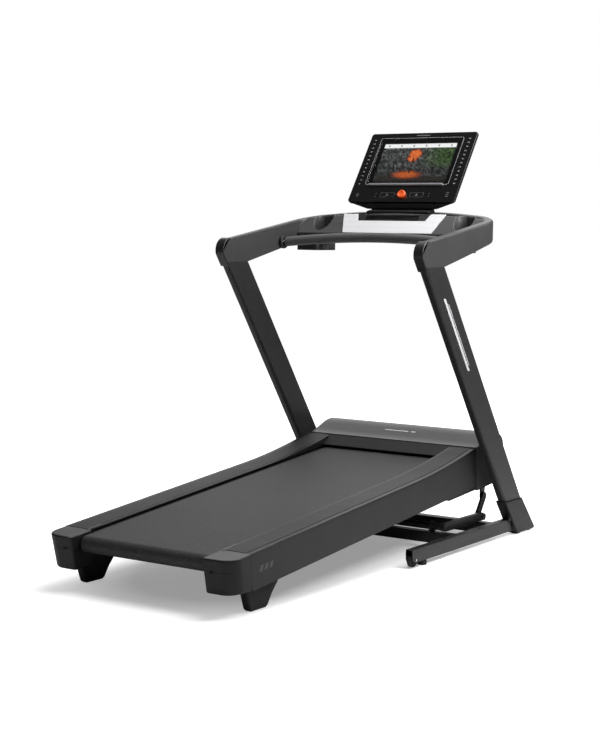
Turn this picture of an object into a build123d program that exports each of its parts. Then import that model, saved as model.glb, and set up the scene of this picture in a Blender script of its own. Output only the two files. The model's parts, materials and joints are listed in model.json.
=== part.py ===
from build123d import *
import os
from math import cos, radians, sin, tan

# Folding motorised treadmill with a powered incline and a tilting touch display, millimetres.
# X runs across (+X is the user's right), +Y points forward to the motor hood, +Z is up.
# The origin lies on the floor at the centre of the footprint.
# The deck stands at its lowest incline, its rear feet and the base's pads on the floor.

# ---- driving dimensions: stance ----
DECK_PITCH = 5.3            # slope of the belt at the lowest incline
BELT_ORIGIN_Y = -799.5      # point on the belt's top surface that deck lengths are measured from
BELT_ORIGIN_Z = 187.1
RAKE = 35.24                # lean of the uprights towards the user, from the vertical

# ---- driving dimensions: deck, lengths along the deck (s), heights above the belt (h) ----
BELT_HALF = 254.0
BELT_THICK = 2.0
ROLLER_R = 25.0
BELT_GAP = 0.4              # air between a roller and the belt's inside
REAR_ROLLER_S = -85.0
FRONT_ROLLER_S = 1400.0
ROLLER_HALF = 257.0
ROLLER_SHAFT_R = 8.0
RAIL_IN = 268.0
DECK_HALF = 375.0
RAIL_TOP = 8.5
RAIL_THICK = 4.0
CAP_REAR_S = -148.0
RAIL_START_S = -49.0
RISE_START_S = 950.0        # where the foot rails begin to sweep up
HOOD_S = 1379.0             # seam between the rails and the hood
HOOD_H = 38.0
HOOD_CREST = (1545.0, 66.0)
HOOD_FRONT_S = 1612.0
SKIRT_H = -123.0
COVER_BOTTOM_H = -108.0
CAP_BOTTOM_H = -106.0
WALL = 3.0
STRIP_IN, STRIP_OUT = 278.0, 356.0
TUBE_IN, TUBE_OUT = 285.0, 325.0
TUBE_TOP_H, TUBE_BOTTOM_H = -36.0, -85.0
TUBE_WALL = 2.5
BOARD_HALF = 305.0
BOARD_TOP_H, BOARD_BOTTOM_H = -3.0, -21.0

# ---- driving dimensions: base and uprights ----
LEG_IN, LEG_OUT = 403.0, 431.0
LEG_LOW, LEG_HIGH = 16.0, 65.0
LEG_TIP_Y, LEG_END_Y = 23.0, 830.0
CROSS_SIZE = 40.0
REAR_CROSS_Y, FRONT_CROSS_Y = 388.0, 670.0
CROSS_LOW = 20.0
WHEEL_R, WHEEL_HALF, WHEEL_Y = 26.0, 8.5, 44.0
AXLE_R = 5.0
FIT = 0.05                  # radial clearance of a running fit
POST_IN, POST_OUT = 404.0, 438.6
POST_DEPTH = 130.0          # measured level, front to rear
POST_REAR = (78.4, 1019.3)  # a point (y, z) on the rear face line
POST_FOOT_Z, POST_TOP_Z = 68.0, 1036.0
BOOT_IN, BOOT_OUT = 398.0, 444.0
BOOT_TOP_Z = 141.0
BOOT_FRONT_Y = 947.0
PAD_HIGH = 4.0

# ---- driving dimensions: lift linkage ----
LIFT_PIVOT = (388.0, 80.0)  # (y, z) of the lift frame's pivot on the base
DECK_PIVOT = (672.0, 80.0)  # (y, z) of the carriage links' pivot on the lift frame
FOLD_PIVOT = (722.0, 150.0)  # (y, z) of the deck's fold pivot on the carriage links
LIFT_TUBE_R = 13.0
PIN_R = 8.0
EYE_R = 15.0
ARM_IN, ARM_OUT = 340.0, 360.0
PLATE_IN, PLATE_OUT = 325.0, 331.0
LINK_IN, LINK_OUT = 331.5, 339.5
HORN_R, HORN_ANGLE = 60.0, 100.0
DRIVE_PIVOT = (682.0, 96.0)  # (y, z) of the incline drive's pin on the front cross tube
DRIVE_PIN_R = 5.0

# ---- driving dimensions: handrails and console ----
ARM_SLOPE = 0.159           # rise of the handrails' top edge per unit of length
ARM_TOP = (87.0, 1120.0)    # (y, z) where that edge begins
CROWN = 20.0                # how far the console's front rises in the middle
CONSOLE_FRONT_Y = 664.0
SHELL_WALL = 3.5
GRIP_END = (420.0, 1107.0)
GRIP_MID = (468.0, 1129.0)
GRIP_CORE_R, GRIP_R = 10.0, 18.5
FACE_LOW = (524.0, 1144.0)  # (y, z) of the console face's lower edge
FACE_ANGLE = 50.0
FACE_LENGTH = 96.5
CUP_X, CUP_Y, CUP_R, CUP_FLOOR_Z = 310.0, 574.0, 40.0, 1080.0
FAN_Y, FAN_Z, FAN_R, FAN_HALF = 598.0, 1176.0, 19.0, 120.0

# ---- driving dimensions: display ----
SCREEN_LOW = (621.3, 1266.3)  # (y, z) of the bezel's lower edge
SCREEN_LEAN = 34.3
SCREEN_HALF = 236.3
SCREEN_HIGH = 326.7
BEZEL_DEEP = 12.0
SHELL_DEEP = 34.0
GLASS_HALF, GLASS_LOW, GLASS_TOP = 183.0, 84.0, 300.0
KEY_X, KEY_V, KEY_W, KEY_H = 65.0, 31.0, 62.0, 22.0
KEY_GAP = 0.5
STOP_BUTTON_R = 17.0
HINGE_Y, HINGE_Z, HINGE_PIN_R = 645.0, 1244.0, 4.0

os.makedirs("parts", exist_ok=True)

# ---- working planes ----
pitch = radians(DECK_PITCH)
deck = Plane(origin=(0, BELT_ORIGIN_Y, BELT_ORIGIN_Z), x_dir=(1, 0, 0), z_dir=(0, -sin(pitch), cos(pitch)))
lean = radians(SCREEN_LEAN)
screen = Plane(origin=(0, *SCREEN_LOW), x_dir=(1, 0, 0), z_dir=(0, -cos(lean), sin(lean)))
slope = radians(FACE_ANGLE)
face = Plane(origin=(0, *FACE_LOW), x_dir=(1, 0, 0), z_dir=(0, -sin(slope), cos(slope)))


def deck_side(x):
    """Upright plane along the deck: sketches on it are drawn in (s, h), and it faces +X."""
    return Plane(origin=deck.origin + deck.x_dir * x, x_dir=deck.y_dir, z_dir=(1, 0, 0))


def deck_level(h):
    """Plane parallel to the belt: sketches on it are drawn in (x, s)."""
    return deck.offset(h)


def side_view(x):
    """Upright plane facing +X: sketches on it are drawn in (y, z)."""
    return Plane.YZ.offset(x)


def near(side, low, high):
    """The lower X of a span that lies low..high from the middle on one side."""
    return low if side > 0 else -high


def post_rear_y(z):
    """Y of the uprights' rear face at height z."""
    return POST_REAR[0] + (POST_REAR[1] - z) * tan(radians(RAKE))


def finish(piece, label):
    """Name a finished piece and write it to its STEP file."""
    piece.part.label = label
    export_step(piece.part, f"parts/{label}.step")


SIDES = {"left": -1, "right": 1}


def pair(make):
    """The same piece made for the left and the right, kept as one group of two solids."""
    with BuildPart() as both:
        for side in SIDES.values():
            add(make(side).part)
    return both


# ================= base =================


def base_leg(side):
    """Square steel tube along the floor, open at its rear tip over the transport wheel."""
    x = near(side, LEG_IN, LEG_OUT)
    width = LEG_OUT - LEG_IN
    middle = x + width / 2
    with BuildPart() as leg:
        with BuildSketch(side_view(x)):
            with BuildLine():
                Polyline((LEG_TIP_Y, LEG_LOW + 14), (LEG_TIP_Y + 12, LEG_LOW), (LEG_END_Y, LEG_LOW),
                         (LEG_END_Y, LEG_HIGH), (LEG_TIP_Y, LEG_HIGH), close=True)
            make_face()
        extrude(amount=width)
        with BuildSketch(Plane.XZ.offset(-LEG_END_Y)):
            with Locations((middle, (LEG_LOW + LEG_HIGH) / 2)):
                Rectangle(width - 2 * TUBE_WALL, LEG_HIGH - LEG_LOW - 2 * TUBE_WALL)
        extrude(amount=LEG_END_Y - LEG_TIP_Y + 1, mode=Mode.SUBTRACT)
        with Locations((middle, LEG_TIP_Y + 28, LEG_LOW)):
            Box(width - 2 * TUBE_WALL, 60, 4 * TUBE_WALL, mode=Mode.SUBTRACT)
        with BuildSketch(side_view(x)):
            with Locations((WHEEL_Y, WHEEL_R + 1.5)):
                Circle(AXLE_R)
        extrude(amount=width, mode=Mode.SUBTRACT)
        fillet(leg.edges().filter_by(Axis.Y).group_by(SortBy.LENGTH)[-1], 1.2)
    return leg


def transport_wheel(side):
    """Moulded wheel with a rounded tread, running on its axle inside the leg's open tip."""
    middle = side * (LEG_IN + LEG_OUT) / 2
    with BuildPart() as wheel:
        with BuildSketch(side_view(middle)):
            with Locations((WHEEL_Y, WHEEL_R + 1.5)):
                Circle(WHEEL_R)
                Circle(AXLE_R + FIT, mode=Mode.SUBTRACT)
        extrude(amount=WHEEL_HALF, both=True)
        fillet(wheel.edges().filter_by(GeomType.CIRCLE).group_by(SortBy.RADIUS)[-1], 3)
    return wheel


finish(pair(base_leg), "base_legs")
for name, side in SIDES.items():
    finish(transport_wheel(side), f"{name}_transport_wheel")

with BuildPart() as wheel_axles:
    for side in SIDES.values():
        with BuildSketch(side_view(near(side, LEG_IN - 3, LEG_OUT + 3))):
            with Locations((WHEEL_Y, WHEEL_R + 1.5)):
                Circle(AXLE_R)
        extrude(amount=LEG_OUT - LEG_IN + 6)
finish(wheel_axles, "wheel_axles")

with BuildPart() as base_cross_tubes:
    for y in (REAR_CROSS_Y, FRONT_CROSS_Y):
        with BuildSketch(side_view(-LEG_IN)):
            with Locations((y, CROSS_LOW + CROSS_SIZE / 2)):
                RectangleRounded(CROSS_SIZE, CROSS_SIZE, 4)
                Rectangle(CROSS_SIZE - 2 * TUBE_WALL, CROSS_SIZE - 2 * TUBE_WALL, mode=Mode.SUBTRACT)
        extrude(amount=2 * LEG_IN)
finish(base_cross_tubes, "base_cross_tubes")

LEG_PADS = [(side * (LEG_IN + LEG_OUT) / 2, 112.0, LEG_LOW) for side in (-1, 1)]
BOOT_PADS = [(side * (BOOT_IN + BOOT_OUT) / 2, y, PAD_HIGH) for side in (-1, 1) for y in (826.0, 915.0)]
with BuildPart() as floor_pads:
    for x, y, high in LEG_PADS + BOOT_PADS:
        with BuildSketch():
            with Locations((x, y)):
                Circle(17)
        extrude(amount=high)
finish(floor_pads, "floor_pads")

with BuildPart() as lift_pivot_ears:
    for side in SIDES.values():
        with BuildSketch(side_view(near(side, 296, 304))):
            with Locations(LIFT_PIVOT):
                Circle(20)
            with Locations((LIFT_PIVOT[0], (CROSS_LOW + CROSS_SIZE + LIFT_PIVOT[1]) / 2)):
                Rectangle(CROSS_SIZE, LIFT_PIVOT[1] - CROSS_LOW - CROSS_SIZE)
            with Locations(LIFT_PIVOT):
                Circle(LIFT_TUBE_R + FIT, mode=Mode.SUBTRACT)
        extrude(amount=8)
finish(lift_pivot_ears, "lift_pivot_ears")

with BuildPart() as drive_clevis:
    for side in SIDES.values():
        with BuildSketch(side_view(near(side, 26, 32))):
            with Locations(DRIVE_PIVOT):
                Circle(11)
            with Locations((DRIVE_PIVOT[0] - 2, (CROSS_LOW + CROSS_SIZE + DRIVE_PIVOT[1]) / 2)):
                Rectangle(20, DRIVE_PIVOT[1] - CROSS_LOW - CROSS_SIZE)
        extrude(amount=6)
    with BuildSketch(side_view(-32)):
        with Locations(DRIVE_PIVOT):
            Circle(DRIVE_PIN_R)
    extrude(amount=64)
finish(drive_clevis, "drive_clevis")


def upright(side):
    """Oval-section steel post, raked towards the user, as a straight tube."""
    x = near(side, POST_IN, POST_OUT)
    wall = TUBE_WALL / cos(radians(RAKE))
    with BuildPart() as post:
        for inset, thick, mode in ((0, 0, Mode.ADD), (wall, TUBE_WALL, Mode.SUBTRACT)):
            low, high = POST_FOOT_Z - inset, POST_TOP_Z + inset
            with BuildSketch(side_view(x + thick)):
                with BuildLine():
                    Polyline((post_rear_y(low) + inset, low), (post_rear_y(low) + POST_DEPTH - inset, low),
                             (post_rear_y(high) + POST_DEPTH - inset, high), (post_rear_y(high) + inset, high),
                             close=True)
                make_face()
            extrude(amount=POST_OUT - POST_IN - 2 * thick, mode=mode)
        raked = post.edges().filter_by(lambda edge: edge.length > POST_TOP_Z)
        fillet(raked.sort_by(SortBy.LENGTH)[-4:], 1.5)
    return post


def boot(side):
    """Moulded foot cover round the bottom of an upright, with the leg running into it."""
    x = near(side, BOOT_IN, BOOT_OUT)
    with BuildPart() as shoe:
        with BuildSketch(side_view(x)):
            with BuildLine():
                Polyline((post_rear_y(BOOT_TOP_Z) - 4, BOOT_TOP_Z), (post_rear_y(PAD_HIGH) + 6, PAD_HIGH),
                         (BOOT_FRONT_Y, PAD_HIGH), (BOOT_FRONT_Y, PAD_HIGH + 8),
                         (post_rear_y(BOOT_TOP_Z) + POST_DEPTH + 4, BOOT_TOP_Z), close=True)
            make_face()
        extrude(amount=BOOT_OUT - BOOT_IN)
        fillet(shoe.edges().filter_by(Axis.X).sort_by(Axis.Z)[-2:], 3)
        chamfer(shoe.faces().filter_by(Axis.X).sort_by(Axis.X)[-1 if side > 0 else 0].edges(), 2.5)
        low, high = POST_FOOT_Z, BOOT_TOP_Z + 20
        with BuildSketch(side_view(near(side, POST_IN, POST_OUT))):
            with BuildLine():
                Polyline((post_rear_y(low), low), (post_rear_y(low) + POST_DEPTH, low),
                         (post_rear_y(high) + POST_DEPTH, high), (post_rear_y(high), high), close=True)
            make_face()
        extrude(amount=POST_OUT - POST_IN, mode=Mode.SUBTRACT)
        with BuildSketch(side_view(near(side, LEG_IN, LEG_OUT))):
            with Locations(((LEG_TIP_Y + LEG_END_Y) / 2, (LEG_LOW + LEG_HIGH) / 2)):
                Rectangle(LEG_END_Y - LEG_TIP_Y, LEG_HIGH - LEG_LOW)
        extrude(amount=LEG_OUT - LEG_IN, mode=Mode.SUBTRACT)
    return shoe


finish(pair(upright), "uprights")
finish(pair(boot), "boots")

BOLT_SPOTS = [(742.0, 112.0), (782.0, 112.0), (800.0, 48.0)]
with BuildPart() as boot_bolts:
    for side in SIDES.values():
        with BuildSketch(side_view(near(side, BOOT_IN - 5, BOOT_IN))):
            with Locations(BOLT_SPOTS):
                RegularPolygon(8, 6)
        extrude(amount=5)
finish(boot_bolts, "boot_bolts")

# ================= handrails and console =================


def rail_line(inset):
    """Half plan of the handrail loop's outer edge, drawn inset by a distance."""
    x = POST_OUT - inset
    corner = CONSOLE_FRONT_Y - 36 - inset * 0.88
    front = CONSOLE_FRONT_Y - inset
    return [(x, 20), (x, corner), (180, front), (-180, front), (-x, corner), (-x, 20)]


def top_edge(y, drop=0.0):
    """Height of the handrails' top edge at y."""
    return ARM_TOP[1] + ARM_SLOPE * (y - ARM_TOP[0]) - drop


def crown_outline(drop):
    """Outline, in (x, z) at y = 0, below the crowned top of the handrails and console."""
    x = POST_OUT + 10
    level = top_edge(0, drop)
    with BuildLine() as outline:
        ThreePointArc((-x, level), (0, level + CROWN), (x, level))
        Polyline((x, level), (x, 900), (-x, 900), (-x, level))
    return outline.line


ARM_WIDTH = POST_OUT - POST_IN
CROWN_TRAVEL = Vector(0, 1, ARM_SLOPE)

crown_full = crown_outline(0)
crown_inside = crown_outline(SHELL_WALL)
with BuildSketch() as loop_outer:
    with BuildLine():
        FilletPolyline(*rail_line(0), radius=[120, 1500, 1500, 120])
        Line((-POST_OUT, 20), (-POST_IN, 20))
        FilletPolyline(*rail_line(ARM_WIDTH), radius=[88, 1400, 1400, 88])
        Line((POST_IN, 20), (POST_OUT, 20))
    make_face()
with BuildSketch() as loop_inner:
    with BuildLine():
        FilletPolyline(*rail_line(SHELL_WALL), radius=[116.5, 1490, 1490, 116.5])
        Line((-POST_OUT + SHELL_WALL, 20), (-POST_IN - SHELL_WALL, 20))
        FilletPolyline(*rail_line(ARM_WIDTH - SHELL_WALL), radius=[91.5, 1410, 1410, 91.5])
        Line((POST_IN + SHELL_WALL, 20), (POST_OUT - SHELL_WALL, 20))
    make_face()

with BuildPart() as handrail_cavity:
    add(loop_inner.sketch.moved(Location((0, 0, 1000))))
    extrude(amount=300)
    with BuildSketch(side_view(-500)):
        with BuildLine():
            Polyline((20, 1030), (191, 1030), (500, 1107), (CONSOLE_FRONT_Y, 1143), (CONSOLE_FRONT_Y, 1300),
                     (20, 1300), close=True)
        make_face()
    extrude(amount=1000, mode=Mode.INTERSECT)
    with BuildSketch(Plane.XZ):
        add(crown_inside)
        make_face()
    extrude(amount=700, dir=CROWN_TRAVEL, mode=Mode.INTERSECT)

CAP_Z = 1066.0                # where the uprights' rear line runs into the handrails' round
with BuildPart() as handrail_shell:
    add(loop_outer.sketch.moved(Location((0, 0, 1000))))
    extrude(amount=300)
    with BuildSketch(side_view(-500)):
        with BuildLine():
            Polyline((post_rear_y(1036), 1036), (post_rear_y(1036) + POST_DEPTH, 1036), (506.6, 1103.4),
                     (CONSOLE_FRONT_Y, 1137), (CONSOLE_FRONT_Y, 1300), (ARM_TOP[0], 1300), (ARM_TOP[0], 1119.5))
            ThreePointArc((ARM_TOP[0], 1119.5), (55, 1104), (post_rear_y(CAP_Z), CAP_Z))
            Line((post_rear_y(CAP_Z), CAP_Z), (post_rear_y(1036), 1036))
        make_face()
    extrude(amount=1000, mode=Mode.INTERSECT)
    with BuildSketch(Plane.XZ):
        add(crown_full)
        make_face()
    extrude(amount=700, dir=CROWN_TRAVEL, mode=Mode.INTERSECT)
    add(handrail_cavity.part, mode=Mode.SUBTRACT)
finish(handrail_shell, "handrail_shell")


def arm_cap(side):
    """Dark moulded cap that wraps the rear corner where an upright meets its handrail."""
    grow, overlap = 5.0, 1.5
    x = near(side, POST_IN - overlap, POST_OUT + overlap)
    low = POST_REAR[1]
    with BuildPart() as cap:
        with BuildSketch(side_view(x)):
            with BuildLine():
                Polyline((post_rear_y(low), low), (post_rear_y(low) - grow, low), (post_rear_y(CAP_Z) - grow, CAP_Z))
                ThreePointArc((post_rear_y(CAP_Z) - grow, CAP_Z), (50, 1109), (ARM_TOP[0], 1125))
                Line((ARM_TOP[0], 1125), (ARM_TOP[0], 1119.5))
                ThreePointArc((ARM_TOP[0], 1119.5), (55, 1104), (post_rear_y(CAP_Z), CAP_Z))
                Line((post_rear_y(CAP_Z), CAP_Z), (post_rear_y(low), low))
            make_face()
        extrude(amount=POST_OUT - POST_IN + 2 * overlap)
    return cap


with BuildPart() as handrail_tubes:
    for side in SIDES.values():
        with BuildSketch(side_view(near(side, 410, 432))):
            with BuildLine():
                Polyline((112, 1062), (535, 1126), (535, 1166), (112, 1102), close=True)
            make_face()
            with BuildLine():
                Polyline((114.5, 1065), (532.5, 1128.2), (532.5, 1163), (114.5, 1099.4), close=True)
            make_face(mode=Mode.SUBTRACT)
        extrude(amount=22)
finish(handrail_tubes, "handrail_tubes")

with BuildLine() as grip_path:
    ThreePointArc((-POST_IN, *GRIP_END), (0, *GRIP_MID), (POST_IN, *GRIP_END))
grip_start = Plane(origin=grip_path.line @ 0, z_dir=grip_path.line % 0)

with BuildPart() as grip_bar_core:
    with BuildSketch(grip_start):
        Circle(GRIP_CORE_R)
    sweep(path=grip_path.line)
    with Locations((POST_IN + 15, *GRIP_END), (-POST_IN - 15, *GRIP_END)):
        Box(30, 90, 90, mode=Mode.SUBTRACT)
finish(grip_bar_core, "grip_bar_core")

with BuildPart() as grip_bar_foam:
    with BuildSketch(grip_start):
        Circle(GRIP_R)
        Circle(GRIP_CORE_R, mode=Mode.SUBTRACT)
    sweep(path=grip_path.line)
    with Locations((POST_IN - 3, *GRIP_END), (-POST_IN + 3, *GRIP_END)):
        Box(30, 90, 90, mode=Mode.SUBTRACT)
finish(grip_bar_foam, "grip_bar_foam")

with BuildPart() as grip_sockets:
    for side in SIDES.values():
        with BuildSketch(side_view(near(side, POST_IN - 14, POST_IN))):
            with Locations(GRIP_END):
                Circle(25)
        extrude(amount=14)
    with BuildSketch(grip_start):
        Circle(GRIP_CORE_R + 0.3)
    sweep(path=grip_path.line, mode=Mode.SUBTRACT)
finish(grip_sockets, "grip_sockets")

finish(pair(arm_cap), "arm_caps")

face_top = (FACE_LOW[0] + FACE_LENGTH * cos(slope), FACE_LOW[1] + FACE_LENGTH * sin(slope))
tray_front = CONSOLE_FRONT_Y - ARM_WIDTH
with BuildSketch() as tray_plan:
    with BuildLine():
        FilletPolyline(*rail_line(ARM_WIDTH), radius=[88, 1400, 1400, 88])
        Line((-POST_IN, 20), (POST_IN, 20))
    make_face()
with BuildPart() as console_tray:
    with BuildSketch(side_view(-POST_IN)):
        with BuildLine():
            Polyline(FACE_LOW, face_top, (600, 1226), (tray_front, 1232), (tray_front, 1150), (560, 1122),
                     (FACE_LOW[0] + 1, FACE_LOW[1] - 8), close=True)
        make_face()
    extrude(amount=2 * POST_IN)
    with BuildSketch(side_view(-POST_IN + WALL)):
        with BuildLine():
            Polyline((FACE_LOW[0] + 5, FACE_LOW[1] + 0.5), (face_top[0] + 2, face_top[1] - 4),
                     (602, 1221), (tray_front - WALL, 1223), (tray_front - WALL, 1152), (560, 1126),
                     (FACE_LOW[0] + 6, FACE_LOW[1] - 4), close=True)
        make_face()
    extrude(amount=2 * POST_IN - 2 * WALL, mode=Mode.SUBTRACT)
    with Locations(*[(x, CUP_Y, CUP_FLOOR_Z - WALL) for x in (-CUP_X, CUP_X)]):
        Cylinder(CUP_R + WALL, 150, align=(Align.CENTER, Align.CENTER, Align.MIN))
    with BuildSketch(side_view(-POST_IN)):
        with BuildLine():
            Polyline((FACE_LOW[0], 1040), FACE_LOW, face_top, (600, 1226), (tray_front, 1232), (tray_front, 1040),
                     close=True)
        make_face()
    extrude(amount=2 * POST_IN, mode=Mode.INTERSECT)
    extrude(tray_plan.sketch.moved(Location((0, 0, 1040))), amount=250, dir=(0, 0, 1), mode=Mode.INTERSECT)
    with BuildSketch(Plane.XZ):
        add(crown_outline(1.0))
        make_face()
    extrude(amount=700, dir=CROWN_TRAVEL, mode=Mode.INTERSECT)
    with Locations(*[(x, CUP_Y, CUP_FLOOR_Z) for x in (-CUP_X, CUP_X)]):
        Cylinder(CUP_R, 200, align=(Align.CENTER, Align.CENTER, Align.MIN), mode=Mode.SUBTRACT)
    with BuildSketch(face):
        with Locations((0, 79)):
            Rectangle(2 * FAN_HALF, 24)
    extrude(amount=30, both=True, mode=Mode.SUBTRACT)
finish(console_tray, "console_tray")

PANEL_THICK = 2.5
with BuildPart() as silver_panel:
    with BuildSketch(face):
        with BuildLine():
            Polyline((-195, 2), (195, 2), (226, FACE_LENGTH - 1), (161, FACE_LENGTH - 1), (148, 62),
                     (-148, 62), (-161, FACE_LENGTH - 1), (-226, FACE_LENGTH - 1), close=True)
        make_face()
    extrude(amount=PANEL_THICK)
    fillet(silver_panel.edges().filter_by(Axis(face.origin, face.z_dir)), 3)
finish(silver_panel, "silver_panel")

SLATS = 4
with BuildPart() as fan_grille:
    with BuildSketch(face):
        with BuildLine():
            Polyline((-147, 63), (147, 63), (159, FACE_LENGTH - 2), (-159, FACE_LENGTH - 2), close=True)
        make_face()
        with Locations([(0, 69 + 6.4 * row) for row in range(SLATS)]):
            Rectangle(2 * FAN_HALF - 10, 3.6, mode=Mode.SUBTRACT)
    extrude(amount=2)
    with BuildSketch(face):
        with Locations([(0, 72.2 + 6.4 * row) for row in range(SLATS - 1)]):
            Rectangle(2 * FAN_HALF - 8, 2)
    extrude(amount=5)
finish(fan_grille, "fan_grille")

with BuildPart() as fan_housing:
    for side in SIDES.values():
        with BuildSketch(side_view(near(side, FAN_HALF + 2, FAN_HALF + 5))):
            with Locations((FAN_Y, FAN_Z)):
                Circle(FAN_R + 4)
                Circle(3 + FIT, mode=Mode.SUBTRACT)
        extrude(amount=3)
    with BuildSketch(side_view(-FAN_HALF - 2)):
        with Locations((FAN_Y, FAN_Z)):
            Circle(FAN_R + 4)
            Circle(FAN_R + 2, mode=Mode.SUBTRACT)
        with Locations((FAN_Y - 15, FAN_Z + 15)):
            Rectangle(40, 40, rotation=45, mode=Mode.SUBTRACT)
    extrude(amount=2 * FAN_HALF + 4)
finish(fan_housing, "fan_housing")

BLADES = 20
with BuildPart() as fan_rotor:
    with BuildSketch(side_view(-FAN_HALF)):
        with Locations((FAN_Y, FAN_Z)):
            with PolarLocations(FAN_R - 3, BLADES):
                Rectangle(5, 1.2)
    extrude(amount=2 * FAN_HALF)
    for x in (-FAN_HALF, -2, FAN_HALF - 3):
        with BuildSketch(side_view(x)):
            with Locations((FAN_Y, FAN_Z)):
                Circle(FAN_R)
        extrude(amount=3)
    with BuildSketch(side_view(-FAN_HALF - 6)):
        with Locations((FAN_Y, FAN_Z)):
            Circle(3)
    extrude(amount=2 * FAN_HALF + 12)
finish(fan_rotor, "fan_rotor")

# ================= display =================

KNUCKLE_R = 9.0
with BuildPart() as display_bracket:
    with BuildSketch(side_view(-112)):
        with Locations((HINGE_Y, HINGE_Z)):
            Circle(KNUCKLE_R)
        with BuildLine():
            Polyline((604, 1226), (632, 1231.5), (HINGE_Y, HINGE_Z - KNUCKLE_R), (HINGE_Y, HINGE_Z + 5),
                     (604, 1232), close=True)
        make_face()
    extrude(amount=224)
    with Locations((0, HINGE_Y, HINGE_Z)):
        Box(140, 2 * KNUCKLE_R + 4, 2 * KNUCKLE_R + 4, mode=Mode.SUBTRACT)
    with BuildSketch(side_view(-112)):
        with Locations((HINGE_Y, HINGE_Z)):
            Circle(HINGE_PIN_R)
    extrude(amount=224, mode=Mode.SUBTRACT)
finish(display_bracket, "display_bracket")

with BuildPart() as display_hinge_pin:
    with BuildSketch(side_view(-112)):
        with Locations((HINGE_Y, HINGE_Z)):
            Circle(HINGE_PIN_R)
    extrude(amount=224)
finish(display_hinge_pin, "display_hinge_pin")

with BuildPart() as display_bezel:
    with BuildSketch(screen):
        with Locations((0, SCREEN_HIGH / 2)):
            RectangleRounded(2 * SCREEN_HALF, SCREEN_HIGH, 11)
    extrude(amount=-BEZEL_DEEP)
    fillet(display_bezel.faces().sort_by(Axis(screen.origin, screen.z_dir))[-1].edges(), 2)
    with BuildSketch(screen):
        with Locations((0, (GLASS_LOW + GLASS_TOP) / 2)):
            RectangleRounded(2 * GLASS_HALF, GLASS_TOP - GLASS_LOW, 7)
        with Locations((-KEY_X, KEY_V), (KEY_X, KEY_V)):
            RectangleRounded(KEY_W + 2 * KEY_GAP, KEY_H + 2 * KEY_GAP, 4)
        with Locations((0, KEY_V)):
            Circle(8.5)
    extrude(amount=-BEZEL_DEEP, mode=Mode.SUBTRACT)
finish(display_bezel, "display_bezel")

REAR_LOW_HALF, REAR_TOP_HALF, REAR_LOW_V, REAR_TOP_V = 170.0, 205.0, 12.0, 296.0


def shell_outline(inset):
    """Front and rear outlines of the display's rear shell, both drawn inset by a distance."""
    front = [(-SCREEN_HALF + inset, inset), (SCREEN_HALF - inset, inset),
             (SCREEN_HALF - inset, SCREEN_HIGH - inset), (-SCREEN_HALF + inset, SCREEN_HIGH - inset)]
    rear = [(-REAR_LOW_HALF + inset, REAR_LOW_V + inset), (REAR_LOW_HALF - inset, REAR_LOW_V + inset),
            (REAR_TOP_HALF - inset, REAR_TOP_V - inset), (-REAR_TOP_HALF + inset, REAR_TOP_V - inset)]
    return front, rear


with BuildPart() as display_rear_shell:
    for inset, deep, mode in ((1, SHELL_DEEP, Mode.ADD), (1 + WALL, SHELL_DEEP - WALL, Mode.SUBTRACT)):
        front_points, rear_points = shell_outline(inset)
        with BuildSketch(screen.offset(-BEZEL_DEEP)):
            Polygon(*front_points, align=None)
            fillet(vertices(), 10)
        with BuildSketch(screen.offset(-deep)):
            Polygon(*rear_points, align=None)
            fillet(vertices(), 10)
        loft(mode=mode)
    with BuildSketch(side_view(-68)):
        with Locations((HINGE_Y, HINGE_Z)):
            Circle(KNUCKLE_R)
        with BuildLine():
            Polyline((HINGE_Y - 8, HINGE_Z - 2), (HINGE_Y + 8, HINGE_Z - 2), (HINGE_Y + 16, HINGE_Z + 19),
                     (HINGE_Y - 2, HINGE_Z + 15), close=True)
        make_face()
    extrude(amount=136)
    with BuildSketch(side_view(-68)):
        with Locations((HINGE_Y, HINGE_Z)):
            Circle(HINGE_PIN_R + FIT)
    extrude(amount=136, mode=Mode.SUBTRACT)
finish(display_rear_shell, "display_rear_shell")

with BuildPart() as display_glass:
    with BuildSketch(screen.offset(-3.2)):
        with Locations((0, (GLASS_LOW + GLASS_TOP) / 2)):
            RectangleRounded(2 * GLASS_HALF, GLASS_TOP - GLASS_LOW, 7)
    extrude(amount=2.4)
finish(display_glass, "display_glass")

with BuildPart() as display_panel:
    with BuildSketch(screen.offset(-9)):
        with Locations((0, (GLASS_LOW + GLASS_TOP) / 2)):
            Rectangle(2 * GLASS_HALF - 10, GLASS_TOP - GLASS_LOW - 10)
    extrude(amount=5.8)
finish(display_panel, "display_panel")

with BuildPart() as display_ledge:
    with BuildSketch(screen):
        with Locations((0, 78)):
            RectangleRounded(330, 9, 3)
    extrude(amount=8)
    fillet(display_ledge.faces().sort_by(Axis(screen.origin, screen.z_dir))[-1].edges(), 2)
finish(display_ledge, "display_ledge")

with BuildPart() as display_board:
    with BuildSketch(screen.offset(-28)):
        with Locations((0, 180)):
            Rectangle(220, 140)
    extrude(amount=2)
    with BuildSketch(screen.offset(-26)):
        with Locations((-60, 200), (10, 170), (60, 210)):
            Rectangle(36, 30)
    extrude(amount=5)
finish(display_board, "display_board")

for name, x in (("start_key", -KEY_X), ("stop_key", KEY_X)):
    with BuildPart() as key:
        with BuildSketch(screen.offset(-8)):
            with Locations((x, KEY_V)):
                RectangleRounded(KEY_W, KEY_H, 3.5)
        extrude(amount=8.8)
        fillet(key.faces().sort_by(Axis(screen.origin, screen.z_dir))[-1].edges(), 0.5)
    finish(key, name)

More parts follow.
